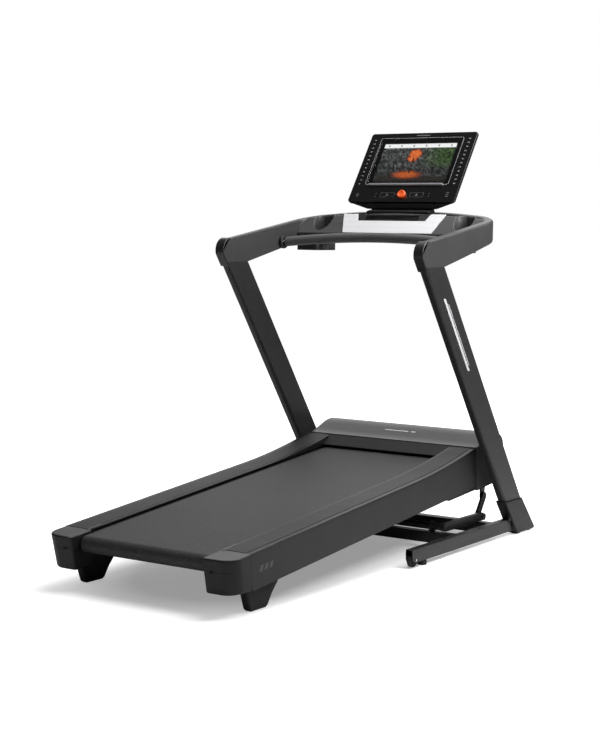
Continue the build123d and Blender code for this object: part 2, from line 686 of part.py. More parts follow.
with BuildPart() as safety_key:
    with BuildSketch(screen.offset(0.4)):
        with Locations((0, KEY_V)):
            Circle(STOP_BUTTON_R)
    extrude(amount=11)
    fillet(safety_key.edges().sort_by(Axis(screen.origin, screen.z_dir))[-1], 5)
    with BuildSketch(screen.offset(-8)):
        with Locations((0, KEY_V)):
            Circle(7.5)
    extrude(amount=10)
finish(safety_key, "safety_key")

# ================= deck =================
# Everything below stands on the pitched deck plane unless it says otherwise.


def rail_curve(lift):
    """Foot rail's top line in (s, h), level along the belt and sweeping up to the hood."""
    level = RAIL_TOP + lift
    rise = HOOD_S - RISE_START_S
    with BuildLine() as curve:
        Line((RAIL_START_S, level), (RISE_START_S, level))
        Spline((RISE_START_S, level), (RISE_START_S + 0.6 * rise, level + 11.5), (HOOD_S, HOOD_H + lift),
               tangents=[(1, 0), (1, 0.13)])
    return curve.line


def rail_section(low, high):
    """Closed (s, h) outline between two copies of the rail's top line."""
    with BuildSketch() as section:
        with BuildLine():
            add(rail_curve(high))
            add(rail_curve(low))
            Line((RAIL_START_S, RAIL_TOP + low), (RAIL_START_S, RAIL_TOP + high))
            Line((HOOD_S, HOOD_H + low), (HOOD_S, HOOD_H + high))
        make_face()
    return section.sketch


def wall_section(bottom):
    """Closed (s, h) outline from a straight lower line up to the rail's underside."""
    with BuildSketch() as section:
        with BuildLine():
            add(rail_curve(-RAIL_THICK))
            Polyline((RAIL_START_S, RAIL_TOP - RAIL_THICK), (RAIL_START_S, bottom), (HOOD_S, bottom),
                     (HOOD_S, HOOD_H - RAIL_THICK))
        make_face()
    return section.sketch


rail_plate = rail_section(-RAIL_THICK, 0)
strip_layer = rail_section(0, 1.2)
inner_lip = wall_section(2.0)
outer_wall = wall_section(COVER_BOTTOM_H)


def foot_rail(side):
    """Moulded rail the user steps onto, with a lip down beside the belt."""
    with BuildPart() as rail:
        with BuildSketch(deck_side(near(side, RAIL_IN, DECK_HALF))):
            add(rail_plate)
        extrude(amount=DECK_HALF - RAIL_IN)
        with BuildSketch(deck_side(near(side, RAIL_IN, RAIL_IN + WALL))):
            add(inner_lip)
        extrude(amount=WALL)
    return rail


def side_cover(side):
    """Outer skirt of the deck, with a narrow flange turned in along its lower edge."""
    with BuildPart() as cover:
        with BuildSketch(deck_side(near(side, DECK_HALF - WALL, DECK_HALF))):
            add(outer_wall)
        extrude(amount=WALL)
        with BuildSketch(deck_side(near(side, DECK_HALF - 28, DECK_HALF))):
            with BuildLine():
                Polyline((RAIL_START_S, COVER_BOTTOM_H), (HOOD_S, COVER_BOTTOM_H),
                         (HOOD_S, COVER_BOTTOM_H + WALL), (RAIL_START_S, COVER_BOTTOM_H + WALL), close=True)
            make_face()
        extrude(amount=28)
    return cover


def end_cap(side):
    """Rear corner moulding of the deck, hollow, with a thin tongue lying on the rail's inner edge."""
    inner, outer, corner = 262.0, DECK_HALF, 52.0
    with BuildPart() as cap:
        for inset, low, high, mode in ((0, CAP_BOTTOM_H, RAIL_TOP, Mode.ADD),
                                       (WALL, CAP_BOTTOM_H + WALL, RAIL_TOP - WALL, Mode.SUBTRACT)):
            front = RAIL_START_S + inset
            rear = CAP_REAR_S + inset
            with BuildSketch(deck_level(low)):
                with BuildLine():
                    Polyline((side * (inner + inset), front), (side * (inner + inset), rear),
                             (side * (outer - corner), rear))
                    RadiusArc((side * (outer - corner), rear), (side * (outer - inset), CAP_REAR_S + corner),
                              -side * (corner - inset))
                    Polyline((side * (outer - inset), CAP_REAR_S + corner), (side * (outer - inset), front),
                             (side * (inner + inset), front))
                make_face()
            extrude(amount=high - low, mode=mode)
            if mode == Mode.ADD:
                fillet(cap.faces().sort_by(Axis(deck.origin, deck.z_dir))[-1].edges().sort_by(
                    Axis(deck.origin, deck.y_dir))[:-1], 6)
        with BuildSketch(deck_side(near(side, inner, inner + 12))):
            with Locations((REAR_ROLLER_S, -ROLLER_R - BELT_THICK - BELT_GAP)):
                Circle(ROLLER_SHAFT_R + 2)
        extrude(amount=12, mode=Mode.SUBTRACT)
        with BuildSketch(deck_side(near(side, inner + 6, STRIP_IN - 1))):
            with BuildLine():
                Polyline((RAIL_START_S - 8, RAIL_TOP), (RAIL_START_S + 70, RAIL_TOP),
                         (RAIL_START_S + 62, RAIL_TOP + 1.5), (RAIL_START_S - 8, RAIL_TOP + 1.5), close=True)
            make_face()
        extrude(amount=STRIP_IN - 1 - inner - 6)
    return cap


finish(pair(foot_rail), "foot_rails")
finish(pair(side_cover), "side_covers")
finish(pair(end_cap), "end_caps")

with BuildPart() as foot_strips:
    for side in SIDES.values():
        with BuildSketch(deck_side(near(side, STRIP_IN, STRIP_OUT))):
            add(strip_layer)
        extrude(amount=STRIP_OUT - STRIP_IN)
finish(foot_strips, "foot_strips")

SCREW_X, SCREW_H = 293.0, -33.0
with BuildPart() as end_cap_screws:
    with BuildSketch(Plane(origin=deck.origin + deck.y_dir * CAP_REAR_S, x_dir=(1, 0, 0), z_dir=-deck.y_dir)):
        with Locations((-SCREW_X, SCREW_H), (SCREW_X, SCREW_H)):
            Circle(5)
    extrude(amount=1.5)
finish(end_cap_screws, "end_cap_screws")

FOOT_IN, FOOT_OUT = 317.0, 347.0
FOOT_REAR_Y, FOOT_FRONT_Y = -836.0, -640.0


def tube_underside(y):
    """Height of the side tubes' lower face at y."""
    along = (y - BELT_ORIGIN_Y + TUBE_BOTTOM_H * sin(pitch)) / cos(pitch)
    return BELT_ORIGIN_Z + along * sin(pitch) + TUBE_BOTTOM_H * cos(pitch)


with BuildPart() as rear_feet:
    for side in SIDES.values():
        with BuildSketch(side_view(near(side, FOOT_IN, FOOT_OUT))):
            with BuildLine():
                Polyline((FOOT_REAR_Y, tube_underside(FOOT_REAR_Y)), (FOOT_REAR_Y, 76), (-820, 28), (-811, 5),
                         (-802, 0), (-728, 0), (-718, 5), (-694, 40), (FOOT_FRONT_Y, 96),
                         (FOOT_FRONT_Y, tube_underside(FOOT_FRONT_Y)), close=True)
            make_face()
        extrude(amount=FOOT_OUT - FOOT_IN)
finish(rear_feet, "rear_feet")

ROLLER_H = -ROLLER_R - BELT_THICK - BELT_GAP
with BuildPart() as walking_belt:
    for radius, mode in ((ROLLER_R + BELT_GAP + BELT_THICK, Mode.ADD), (ROLLER_R + BELT_GAP, Mode.SUBTRACT)):
        with BuildSketch(deck_side(-BELT_HALF)):
            with Locations(((REAR_ROLLER_S + FRONT_ROLLER_S) / 2, ROLLER_H)):
                SlotCenterToCenter(FRONT_ROLLER_S - REAR_ROLLER_S, 2 * radius)
        extrude(amount=2 * BELT_HALF, mode=mode)
finish(walking_belt, "walking_belt")

with BuildPart() as deck_board:
    with BuildSketch(deck_level(BOARD_BOTTOM_H)):
        with Locations((0, 655)):
            RectangleRounded(2 * BOARD_HALF, 1390, 8)
    extrude(amount=BOARD_TOP_H - BOARD_BOTTOM_H)
finish(deck_board, "deck_board")

CUSHION_S = [80, 420, 760, 1100]
with BuildPart() as deck_cushions:
    with BuildSketch(deck_level(TUBE_TOP_H)):
        with Locations([(x, s) for x in (-295, 295) for s in CUSHION_S]):
            RectangleRounded(18, 46, 4)
    extrude(amount=BOARD_BOTTOM_H - TUBE_TOP_H)
finish(deck_cushions, "deck_cushions")

TUBE_START_S, TUBE_END_S = -120.0, 1560.0
with BuildPart() as deck_side_tubes:
    for side in SIDES.values():
        x = near(side, TUBE_IN, TUBE_OUT)
        for thick, mode in ((0, Mode.ADD), (TUBE_WALL, Mode.SUBTRACT)):
            with BuildSketch(deck_side(x + thick)):
                with Locations(((TUBE_START_S + TUBE_END_S) / 2, (TUBE_TOP_H + TUBE_BOTTOM_H) / 2)):
                    Rectangle(TUBE_END_S - TUBE_START_S + 2 * thick, TUBE_TOP_H - TUBE_BOTTOM_H - 2 * thick)
            extrude(amount=TUBE_OUT - TUBE_IN - 2 * thick, mode=mode)
finish(deck_side_tubes, "deck_side_tubes")

CROSS_MEMBER_S = [40, 370, 700, 1030, 1350]
with BuildPart() as deck_cross_members:
    for s in CROSS_MEMBER_S:
        with BuildSketch(deck_side(-TUBE_IN)):
            with Locations((s, -73)):
                Rectangle(30, 24)
                Rectangle(25, 19, mode=Mode.SUBTRACT)
        extrude(amount=2 * TUBE_IN)
finish(deck_cross_members, "deck_cross_members")

with BuildPart() as pivot_plates:
    for side in SIDES.values():
        with BuildSketch(side_view(near(side, PLATE_IN, PLATE_OUT))):
            with BuildLine():
                Polyline((FOLD_PIVOT[0] - EYE_R, FOLD_PIVOT[1]), (707, 204), (720, 262),
                         (750, 262), (742, 204), (FOLD_PIVOT[0] + EYE_R, FOLD_PIVOT[1]))
                ThreePointArc((FOLD_PIVOT[0] + EYE_R, FOLD_PIVOT[1]), (FOLD_PIVOT[0], FOLD_PIVOT[1] - EYE_R),
                              (FOLD_PIVOT[0] - EYE_R, FOLD_PIVOT[1]))
            make_face()
            with Locations(FOLD_PIVOT):
                Circle(PIN_R + FIT, mode=Mode.SUBTRACT)
        extrude(amount=PLATE_OUT - PLATE_IN)
finish(pivot_plates, "pivot_plates")

with BuildPart() as roller_brackets:
    for side in SIDES.values():
        for s in (REAR_ROLLER_S, FRONT_ROLLER_S):
            with BuildSketch(deck_side(near(side, TUBE_IN, TUBE_IN + 14))):
                with Locations((s, (TUBE_TOP_H - 8) / 2)):
                    Rectangle(44, -TUBE_TOP_H - 8)
                with Locations((s, ROLLER_H)):
                    Circle(ROLLER_SHAFT_R + FIT, mode=Mode.SUBTRACT)
            extrude(amount=14)
finish(roller_brackets, "roller_brackets")

# ---- drive: rollers, motor and drive belt ----
MOTOR_S, MOTOR_H, MOTOR_R = 1490.0, -78.0, 46.0
PULLEY_LOW, PULLEY_HIGH = 262.0, 280.0
ROLLER_PULLEY_R, MOTOR_PULLEY_R = 28.0, 14.0
FLYWHEEL_R = 52.0
MOTOR_SHAFT_R = 7.0
MOTOR_LEFT, MOTOR_RIGHT = -140.0, 60.0
SHAFT_REACH = 12.0


def roller(s, pulley_r):
    """Crowned steel roller on its shaft, with the drive pulley on the left when it has one."""
    with BuildPart() as drum:
        with BuildSketch(deck_side(-ROLLER_HALF)):
            with Locations((s, ROLLER_H)):
                Circle(ROLLER_R)
        extrude(amount=2 * ROLLER_HALF)
        with BuildSketch(deck_side(-TUBE_IN - SHAFT_REACH)):
            with Locations((s, ROLLER_H)):
                Circle(ROLLER_SHAFT_R)
        extrude(amount=2 * TUBE_IN + 2 * SHAFT_REACH)
        if pulley_r:
            with BuildSketch(deck_side(-PULLEY_HIGH)):
                with Locations((s, ROLLER_H)):
                    Circle(pulley_r)
            extrude(amount=PULLEY_HIGH - PULLEY_LOW)
    return drum


finish(roller(REAR_ROLLER_S, 0), "rear_roller")
finish(roller(FRONT_ROLLER_S, ROLLER_PULLEY_R), "front_roller")

with BuildPart() as motor_flywheel:
    for low, high, radius in ((-PULLEY_HIGH - 3, -100, MOTOR_SHAFT_R), (-PULLEY_HIGH, -PULLEY_LOW, MOTOR_PULLEY_R), (-180, -158, FLYWHEEL_R)):
        with BuildSketch(deck_side(low)):
            with Locations((MOTOR_S, MOTOR_H)):
                Circle(radius)
        extrude(amount=high - low)
finish(motor_flywheel, "motor_flywheel")

with BuildPart() as drive_motor:
    with BuildSketch(deck_side(MOTOR_LEFT)):
        with Locations((MOTOR_S, MOTOR_H)):
            Circle(MOTOR_R)
    extrude(amount=MOTOR_RIGHT - MOTOR_LEFT)
    with BuildSketch(deck_side(MOTOR_LEFT + 20)):
        with Locations((MOTOR_S, MOTOR_H - MOTOR_R - 4)):
            Rectangle(36, 16)
    extrude(amount=MOTOR_RIGHT - MOTOR_LEFT - 40)
    with BuildSketch(deck_side(MOTOR_LEFT)):
        with Locations((MOTOR_S, MOTOR_H)):
            Circle(MOTOR_SHAFT_R + FIT)
    extrude(amount=41, mode=Mode.SUBTRACT)
finish(drive_motor, "drive_motor")


def belt_round(gap):
    """Filled (s, h) outline of a band pulled round both pulleys at a distance from them."""
    with BuildSketch() as outline:
        with Locations((FRONT_ROLLER_S, ROLLER_H)):
            Circle(ROLLER_PULLEY_R + gap)
        with Locations((MOTOR_S, MOTOR_H)):
            Circle(MOTOR_PULLEY_R + gap)
        make_hull()
    return outline.sketch


band_outer = belt_round(3.4)
band_inner = belt_round(0.4)
with BuildPart() as drive_belt:
    with BuildSketch(deck_side(-PULLEY_HIGH + 1)):
        add(band_outer)
        add(band_inner, mode=Mode.SUBTRACT)
    extrude(amount=PULLEY_HIGH - PULLEY_LOW - 2)
finish(drive_belt, "drive_belt")

with BuildPart() as controller_board:
    with BuildSketch(deck_level(-128)):
        with Locations((190, 1490)):
            Rectangle(150, 110)
    extrude(amount=2)
    with BuildSketch(deck_level(-126)):
        with Locations([(130 + 12 * fin, 1490) for fin in range(8)]):
            Rectangle(4, 90)
    extrude(amount=32)
finish(controller_board, "controller_board")

# ---- hood and belly pan ----


def hood_outline(inset):
    """Side outline of the hood in (s, h), drawn inset by a wall thickness."""
    crest_s, crest_h = HOOD_CREST
    with BuildSketch() as outline:
        with BuildLine():
            Line((HOOD_S + 1, SKIRT_H), (HOOD_S + 1, HOOD_H + 2 - inset))
            Spline((HOOD_S + 1, HOOD_H + 2 - inset), (1470, 55.5 - inset), (crest_s, crest_h - inset),
                   (1592, 48 - inset), (HOOD_FRONT_S - inset, 0))
            Polyline((HOOD_FRONT_S - inset, 0), (HOOD_FRONT_S - 8 - inset, -66), (1560, SKIRT_H),
                     (HOOD_S + 1, SKIRT_H))
        make_face()
    return outline.sketch


hood_outer = hood_outline(0)
hood_inner = hood_outline(WALL)
with BuildPart() as motor_hood:
    with BuildSketch(deck_side(-DECK_HALF)):
        add(hood_outer)
    extrude(amount=2 * DECK_HALF)
    fillet(motor_hood.faces().sort_by(Axis(deck.origin, deck.z_dir))[-1].edges().filter_by(
        lambda edge: edge.geom_type != GeomType.LINE), 8)
    with BuildSketch(deck_side(-DECK_HALF + WALL)):
        add(hood_inner)
        with BuildLine():
            Polyline((HOOD_S, SKIRT_H - 1), (HOOD_S, SKIRT_H + 1), (1561, SKIRT_H + 1), (1561, SKIRT_H - 1),
                     close=True)
        make_face()
    extrude(amount=2 * DECK_HALF - 2 * WALL, mode=Mode.SUBTRACT)
    with BuildSketch(deck_side(-RAIL_IN)):
        with BuildLine():
            Polyline((HOOD_S - 5, SKIRT_H), (HOOD_S + 5, SKIRT_H), (HOOD_S + 5, HOOD_H - 4), (HOOD_S - 5, HOOD_H - 4),
                     close=True)
        make_face()
    extrude(amount=2 * RAIL_IN, mode=Mode.SUBTRACT)
finish(motor_hood, "motor_hood")

FASCIA_LOW = (1318.0, 9.0)
with BuildPart() as hood_fascia:
    with BuildSketch(deck_side(-RAIL_IN + 0.5)):
        with BuildLine():
            Polyline((HOOD_S, HOOD_H + 2), (FASCIA_LOW[0], FASCIA_LOW[1] + 3), FASCIA_LOW,
                     (FASCIA_LOW[0] + 5, FASCIA_LOW[1]), (HOOD_S, HOOD_H - 2), close=True)
        make_face()
    extrude(amount=2 * RAIL_IN - 1)
finish(hood_fascia, "hood_fascia")

PAN_HALF = 318.0
with BuildPart() as belly_pan:
    for thick, mode in ((0, Mode.ADD), (WALL, Mode.SUBTRACT)):
        with BuildSketch(deck_side(-PAN_HALF + thick)):
            with BuildLine():
                Polyline((1236 + thick, -90), (1240 + thick, -118), (1276, -145 + thick), (1526, -150 + thick),
                         (1556 - thick, -122), (1556 - thick, -90), close=True)
            make_face()
        extrude(amount=2 * PAN_HALF - 2 * thick, mode=mode)
    for side in SIDES.values():
        with BuildSketch(deck_side(near(side, TUBE_IN - 1, PAN_HALF))):
            with Locations((1400, -80)):
                Rectangle(420, 24)
        extrude(amount=PAN_HALF - TUBE_IN + 1, mode=Mode.SUBTRACT)
finish(belly_pan, "belly_pan")

# ================= lift linkage =================


def turned(angle, length):
    """The (y, z) step from a pivot along a direction."""
    return length * cos(radians(angle)), length * sin(radians(angle))


HORN_IN, HORN_OUT, HORN_HALF = 6.0, 14.0, 12.0   # the horn's two cheeks, with its pin across them
horn_step = turned(HORN_ANGLE, HORN_R)
horn_tip = (LIFT_PIVOT[0] + horn_step[0], LIFT_PIVOT[1] + horn_step[1])

with BuildPart() as lift_frame:
    with BuildSketch(side_view(-ARM_IN)):
        with Locations(LIFT_PIVOT):
            Circle(LIFT_TUBE_R)
    extrude(amount=2 * ARM_IN)
    for side in SIDES.values():
        with BuildSketch(side_view(near(side, ARM_IN, ARM_OUT))):
            with Locations(LIFT_PIVOT, DECK_PIVOT):
                Circle(EYE_R)
            make_hull()
            with Locations(DECK_PIVOT):
                Circle(PIN_R + FIT, mode=Mode.SUBTRACT)
        extrude(amount=ARM_OUT - ARM_IN)
    for x in (-HORN_OUT, HORN_IN):
        with BuildSketch(side_view(x)):
            with Locations(LIFT_PIVOT, horn_tip):
                Circle(HORN_HALF)
            make_hull()
        extrude(amount=HORN_OUT - HORN_IN)
    with BuildSketch(side_view(-HORN_OUT - 2)):
        with Locations(horn_tip):
            Circle(DRIVE_PIN_R)
    extrude(amount=2 * HORN_OUT + 4)
finish(lift_frame, "lift_frame")

with BuildPart() as carriage_links:
    for side in SIDES.values():
        with BuildSketch(side_view(near(side, LINK_IN, LINK_OUT))):
            with Locations(DECK_PIVOT, FOLD_PIVOT):
                Circle(EYE_R)
            make_hull()
            with Locations(DECK_PIVOT):
                Circle(PIN_R + FIT, mode=Mode.SUBTRACT)
        extrude(amount=LINK_OUT - LINK_IN)
        with BuildSketch(side_view(near(side, PLATE_IN - 3, LINK_IN))):
            with Locations(FOLD_PIVOT):
                Circle(PIN_R)
        extrude(amount=LINK_IN - PLATE_IN + 3)
finish(carriage_links, "carriage_links")

with BuildPart() as deck_pivot_pins:
    for side in SIDES.values():
        for low, high, radius in ((LINK_IN - 3, ARM_OUT + 4, PIN_R), (ARM_OUT + 0.4, ARM_OUT + 6, PIN_R + 5)):
            with BuildSketch(side_view(near(side, low, high))):
                with Locations(DECK_PIVOT):
                    Circle(radius)
            extrude(amount=high - low)
finish(deck_pivot_pins, "deck_pivot_pins")

# ---- incline drive: motor housing on the front cross tube, lead screw to the horn ----
drive_span = (horn_tip[0] - DRIVE_PIVOT[0], horn_tip[1] - DRIVE_PIVOT[1])
drive_axis = Plane(origin=(0, *DRIVE_PIVOT), x_dir=(1, 0, 0), z_dir=(0, *drive_span))
drive_length = Vector(*drive_span).length
HOUSING_R, BARREL_R, SCREW_R = 26.0, 14.0, 8.0
HOUSING_START, HOUSING_END, BARREL_END = 16.0, 150.0, 225.0
BORE_START = HOUSING_END - 45
SCREW_START = HOUSING_END - 38
SCREW_END = drive_length - 36   # the round screw stops short of the horn's cheeks
EYE_HALF, DRIVE_EYE_R = 5.5, 10.0
LOOSE = 2.5                     # play round the horn's pin, in the eye of the screw

with BuildPart() as incline_drive_housing:
    with BuildSketch(side_view(-DRIVE_EYE_R)):
        with Locations(DRIVE_PIVOT):
            Circle(DRIVE_EYE_R)
    extrude(amount=2 * DRIVE_EYE_R)
    for start, end, radius in ((HOUSING_START / 3, HOUSING_START, DRIVE_EYE_R - 1),
                               (HOUSING_START, HOUSING_END, HOUSING_R), (HOUSING_END, BARREL_END, BARREL_R)):
        with BuildSketch(drive_axis.offset(start)):
            Circle(radius)
        extrude(amount=end - start)
    with BuildSketch(drive_axis.offset(BORE_START)):
        Circle(SCREW_R + FIT)
    extrude(amount=BARREL_END - BORE_START, mode=Mode.SUBTRACT)
    with BuildSketch(side_view(-DRIVE_EYE_R)):
        with Locations(DRIVE_PIVOT):
            Circle(DRIVE_PIN_R + FIT)
    extrude(amount=2 * DRIVE_EYE_R, mode=Mode.SUBTRACT)
finish(incline_drive_housing, "incline_drive_housing")

with BuildPart() as incline_drive_screw:
    with BuildSketch(drive_axis.offset(SCREW_START)):
        Circle(SCREW_R)
    extrude(amount=SCREW_END - SCREW_START)
    with BuildSketch(drive_axis.offset(SCREW_END - 2)):
        Rectangle(2 * EYE_HALF, 14)
    extrude(amount=drive_length - SCREW_END - 4)
    with BuildSketch(side_view(-EYE_HALF)):
        with Locations(horn_tip):
            Circle(DRIVE_EYE_R)
    extrude(amount=2 * EYE_HALF)
    with BuildSketch(side_view(-EYE_HALF)):
        with Locations(horn_tip):
            Circle(DRIVE_PIN_R + LOOSE)
    extrude(amount=2 * EYE_HALF, mode=Mode.SUBTRACT)
finish(incline_drive_screw, "incline_drive_screw")
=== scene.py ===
import json
from math import cos, pi, radians, sin

import bmesh
import bpy
from mathutils import Matrix, Vector

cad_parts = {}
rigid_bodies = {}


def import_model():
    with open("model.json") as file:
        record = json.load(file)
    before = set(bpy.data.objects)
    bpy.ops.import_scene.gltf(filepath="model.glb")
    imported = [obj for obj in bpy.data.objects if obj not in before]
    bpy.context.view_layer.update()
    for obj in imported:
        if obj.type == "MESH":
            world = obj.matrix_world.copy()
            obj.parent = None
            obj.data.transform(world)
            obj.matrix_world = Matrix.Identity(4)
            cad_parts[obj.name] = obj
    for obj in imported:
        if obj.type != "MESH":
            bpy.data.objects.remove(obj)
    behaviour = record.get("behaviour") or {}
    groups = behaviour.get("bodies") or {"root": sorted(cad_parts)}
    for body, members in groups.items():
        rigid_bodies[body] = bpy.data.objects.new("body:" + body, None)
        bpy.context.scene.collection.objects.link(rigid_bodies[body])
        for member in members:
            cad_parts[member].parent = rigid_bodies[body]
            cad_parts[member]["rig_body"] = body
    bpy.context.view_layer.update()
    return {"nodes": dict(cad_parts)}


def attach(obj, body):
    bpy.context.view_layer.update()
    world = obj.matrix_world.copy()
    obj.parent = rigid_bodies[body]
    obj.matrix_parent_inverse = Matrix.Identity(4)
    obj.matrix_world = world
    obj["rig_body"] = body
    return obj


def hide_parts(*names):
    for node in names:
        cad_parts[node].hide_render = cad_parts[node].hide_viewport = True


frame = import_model()
scene = bpy.context.scene

# ================= camera =================
# A long lens at console height, from behind the machine and to the user's right.
yaw, tilt, roll = radians(34.1), radians(-5.5), radians(0.6)
ahead = Vector((-sin(yaw) * cos(tilt), cos(yaw) * cos(tilt), sin(tilt)))
right = Vector((cos(yaw), sin(yaw), 0))
up = right.cross(ahead)
right, up = right * cos(roll) + up * sin(roll), up * cos(roll) - right * sin(roll)
lens = bpy.data.cameras.new("long_lens")
lens.lens, lens.sensor_width = 77.83, 36
lens.clip_end = 60
camera = bpy.data.objects.new("camera", lens)
facing = Matrix((right, up, -ahead)).transposed().to_4x4()
camera.matrix_world = Matrix.Translation((3.1857, -4.7492, 1.1967)) @ facing
scene.collection.objects.link(camera)
scene.camera = camera

# ================= studio: white floor and soft light =================
# A seamless white sweep lit from all round, with a broad softbox overhead, one high on the user's
# right, and one beyond the hood that skims the tops.
scene.view_settings.view_transform = "Standard"


def colour(code):
    """Linear colour of an sRGB hex code."""
    parts = [int(code[i:i + 2], 16) / 255 for i in (1, 3, 5)]
    return [c / 12.92 if c <= 0.04045 else ((c + 0.055) / 1.055) ** 2.4 for c in parts] + [1]


def add(tree, kind, **values):
    """A node of one kind with its settings, and its inputs set or linked by name."""
    node = tree.nodes.new(kind)
    for key, value in values.items():
        if hasattr(node, key):
            setattr(node, key, value)
            continue
        label = key.removesuffix("_b")
        socket = [s for s in node.inputs if s.name.replace(" ", "_") == label][key.endswith("_b")]
        if isinstance(value, bpy.types.NodeSocket):
            tree.links.new(value, socket)
        else:
            socket.default_value = value
    return node


def new_material(name):
    """An empty node material and the place in it that patterns are measured from, in metres."""
    made = bpy.data.materials.new(name)
    made.use_nodes = True
    made.node_tree.nodes.clear()
    return made, made.node_tree, add(made.node_tree, "ShaderNodeTexCoord").outputs["Object"]


def show(tree, shader):
    """Send a shader to the material's surface."""
    tree.links.new(shader.outputs[0], add(tree, "ShaderNodeOutputMaterial").inputs["Surface"])


def surface(name, code, rough, grain=0.7, depth=0.00006, metallic=0.0, coat=0.0, mottle=0.08,
            stretch=(1, 1, 1),
            index=1.5):
    """A sprayed or moulded finish: slow mottling, and a fine relief whose grain is in millimetres."""
    made, tree, place = new_material(name)
    base = colour(code)
    cloud = add(tree, "ShaderNodeTexNoise", Vector=place, Scale=9.0, Detail=4.0)
    tone = add(tree, "ShaderNodeMixRGB", Fac=cloud.outputs[0],
               Color1=[c * (1 - mottle) for c in base[:3]] + [1],
               Color2=[min(1, c * (1 + mottle)) for c in base[:3]] + [1])
    drawn = add(tree, "ShaderNodeMapping", Vector=place, Scale=stretch)
    relief = add(tree, "ShaderNodeTexNoise", Vector=drawn.outputs[0], Scale=1000 / grain, Detail=2.0)
    bump = add(tree, "ShaderNodeBump", Strength=0.6, Distance=depth, Height=relief.outputs[0])
    uneven = add(tree, "ShaderNodeMapRange", Value=cloud.outputs[0], To_Min=rough - 0.05,
                 To_Max=rough + 0.05)
    show(tree, add(tree, "ShaderNodeBsdfPrincipled", Base_Color=tone.outputs[0],
                   Roughness=uneven.outputs[0], Metallic=metallic, IOR=index, Coat_Weight=coat,
                   Coat_Roughness=0.15, Normal=bump.outputs[0]))
    return made


def build(name, points, faces):
    """A mesh object standing at the origin, with its place in its vertices."""
    mesh = bpy.data.meshes.new(name)
    mesh.from_pydata([tuple(p) for p in points], [], faces)
    piece = bpy.data.objects.new(name, mesh)
    scene.collection.objects.link(piece)
    return piece


floor = build("studio_floor", [(-14, -14, 0), (14, -14, 0), (14, 14, 0), (-14, 14, 0)], [(0, 1, 2, 3)])


def sweep():
    """Over-lit matt white paper: burns out to white for the eye, but bounces only a little light."""
    made, tree, place = new_material("paper_white_overlit")
    fibre = add(tree, "ShaderNodeTexNoise", Vector=place, Scale=120.0, Detail=3.0)
    tone = add(tree, "ShaderNodeMixRGB", Fac=fibre.outputs[0], Color1=(0.80, 0.80, 0.80, 1),
               Color2=(0.84, 0.84, 0.84, 1))
    seen = add(tree, "ShaderNodeLightPath").outputs["Is Camera Ray"]
    oval = add(tree, "ShaderNodeVectorMath", operation="MULTIPLY", Vector=place, Vector_b=(1.9, 1.0, 1.0))
    far = add(tree, "ShaderNodeVectorMath", operation="LENGTH",
              Vector=oval.outputs["Vector"]).outputs["Value"]
    lift = add(tree, "ShaderNodeMapRange", Value=far, From_Min=0.8, From_Max=1.7, To_Min=0.30, To_Max=1.0)
    glow = add(tree, "ShaderNodeMath", operation="MULTIPLY", Value=seen, Value_b=lift.outputs[0])
    show(tree, add(tree, "ShaderNodeBsdfPrincipled", Base_Color=tone.outputs[0], Roughness=0.9,
                   Specular_IOR_Level=0.0, Emission_Color=(1, 1, 1, 1),
                   Emission_Strength=glow.outputs[0]))
    return made


floor.data.materials.append(sweep())
world = bpy.data.worlds.new("white_room")
world.use_nodes = True
seen = add(world.node_tree, "ShaderNodeLightPath").outputs["Is Camera Ray"]
strength = add(world.node_tree, "ShaderNodeMapRange", Value=seen, To_Min=0.10, To_Max=1.0)
world.node_tree.nodes["Background"].inputs["Color"].default_value = (1, 1, 1, 1)
world.node_tree.links.new(strength.outputs[0], world.node_tree.nodes["Background"].inputs["Strength"])
scene.world = world


def softbox(name, size, power, place, target):
    """A square area light aimed at a point."""
    data = bpy.data.lights.new(name, "AREA")
    data.size, data.energy = size, power
    lamp = bpy.data.objects.new(name, data)
    lamp.location = place
    lamp.visible_camera = False
    lamp.rotation_euler = (Vector(target) - Vector(place)).to_track_quat("-Z", "Y").to_euler()
    scene.collection.objects.link(lamp)


softbox("overhead_box", 2.8, 175, (0.7, 0.7, 4.2), (0, 0.1, 0.3))
softbox("right_high_box", 0.7, 26, (1.5, 0.5, 1.65), (0.44, 0.4, 1.1))
softbox("beyond_left_box", 4.0, 75, (-3.2, 5.0, 3.3), (0, 0.2, 0.5))

# ================= base: floor tubes, wheels and pads =================
# Rectangular steel tubes run along the floor on each side, welded to two cross tubes and powder coated
# black, with rolled long edges. Rubber pads and small wheels carry them.


def settle(piece, finish, body, stands_for=(), smooth=38):
    """Shade, paint and hand a finished piece to the body it rides on."""
    piece.data.shade_smooth()
    piece.data.set_sharp_from_angle(angle=radians(smooth))
    weighted = piece.modifiers.new("weighted", "WEIGHTED_NORMAL")
    weighted.keep_sharp = True
    bpy.context.view_layer.update()
    made = bpy.data.meshes.new_from_object(piece.evaluated_get(bpy.context.evaluated_depsgraph_get()))
    piece.modifiers.clear()
    piece.data = made
    made.materials.clear()
    made.materials.append(finish)
    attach(piece, body)
    if stands_for:
        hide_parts(*stands_for)
    return piece


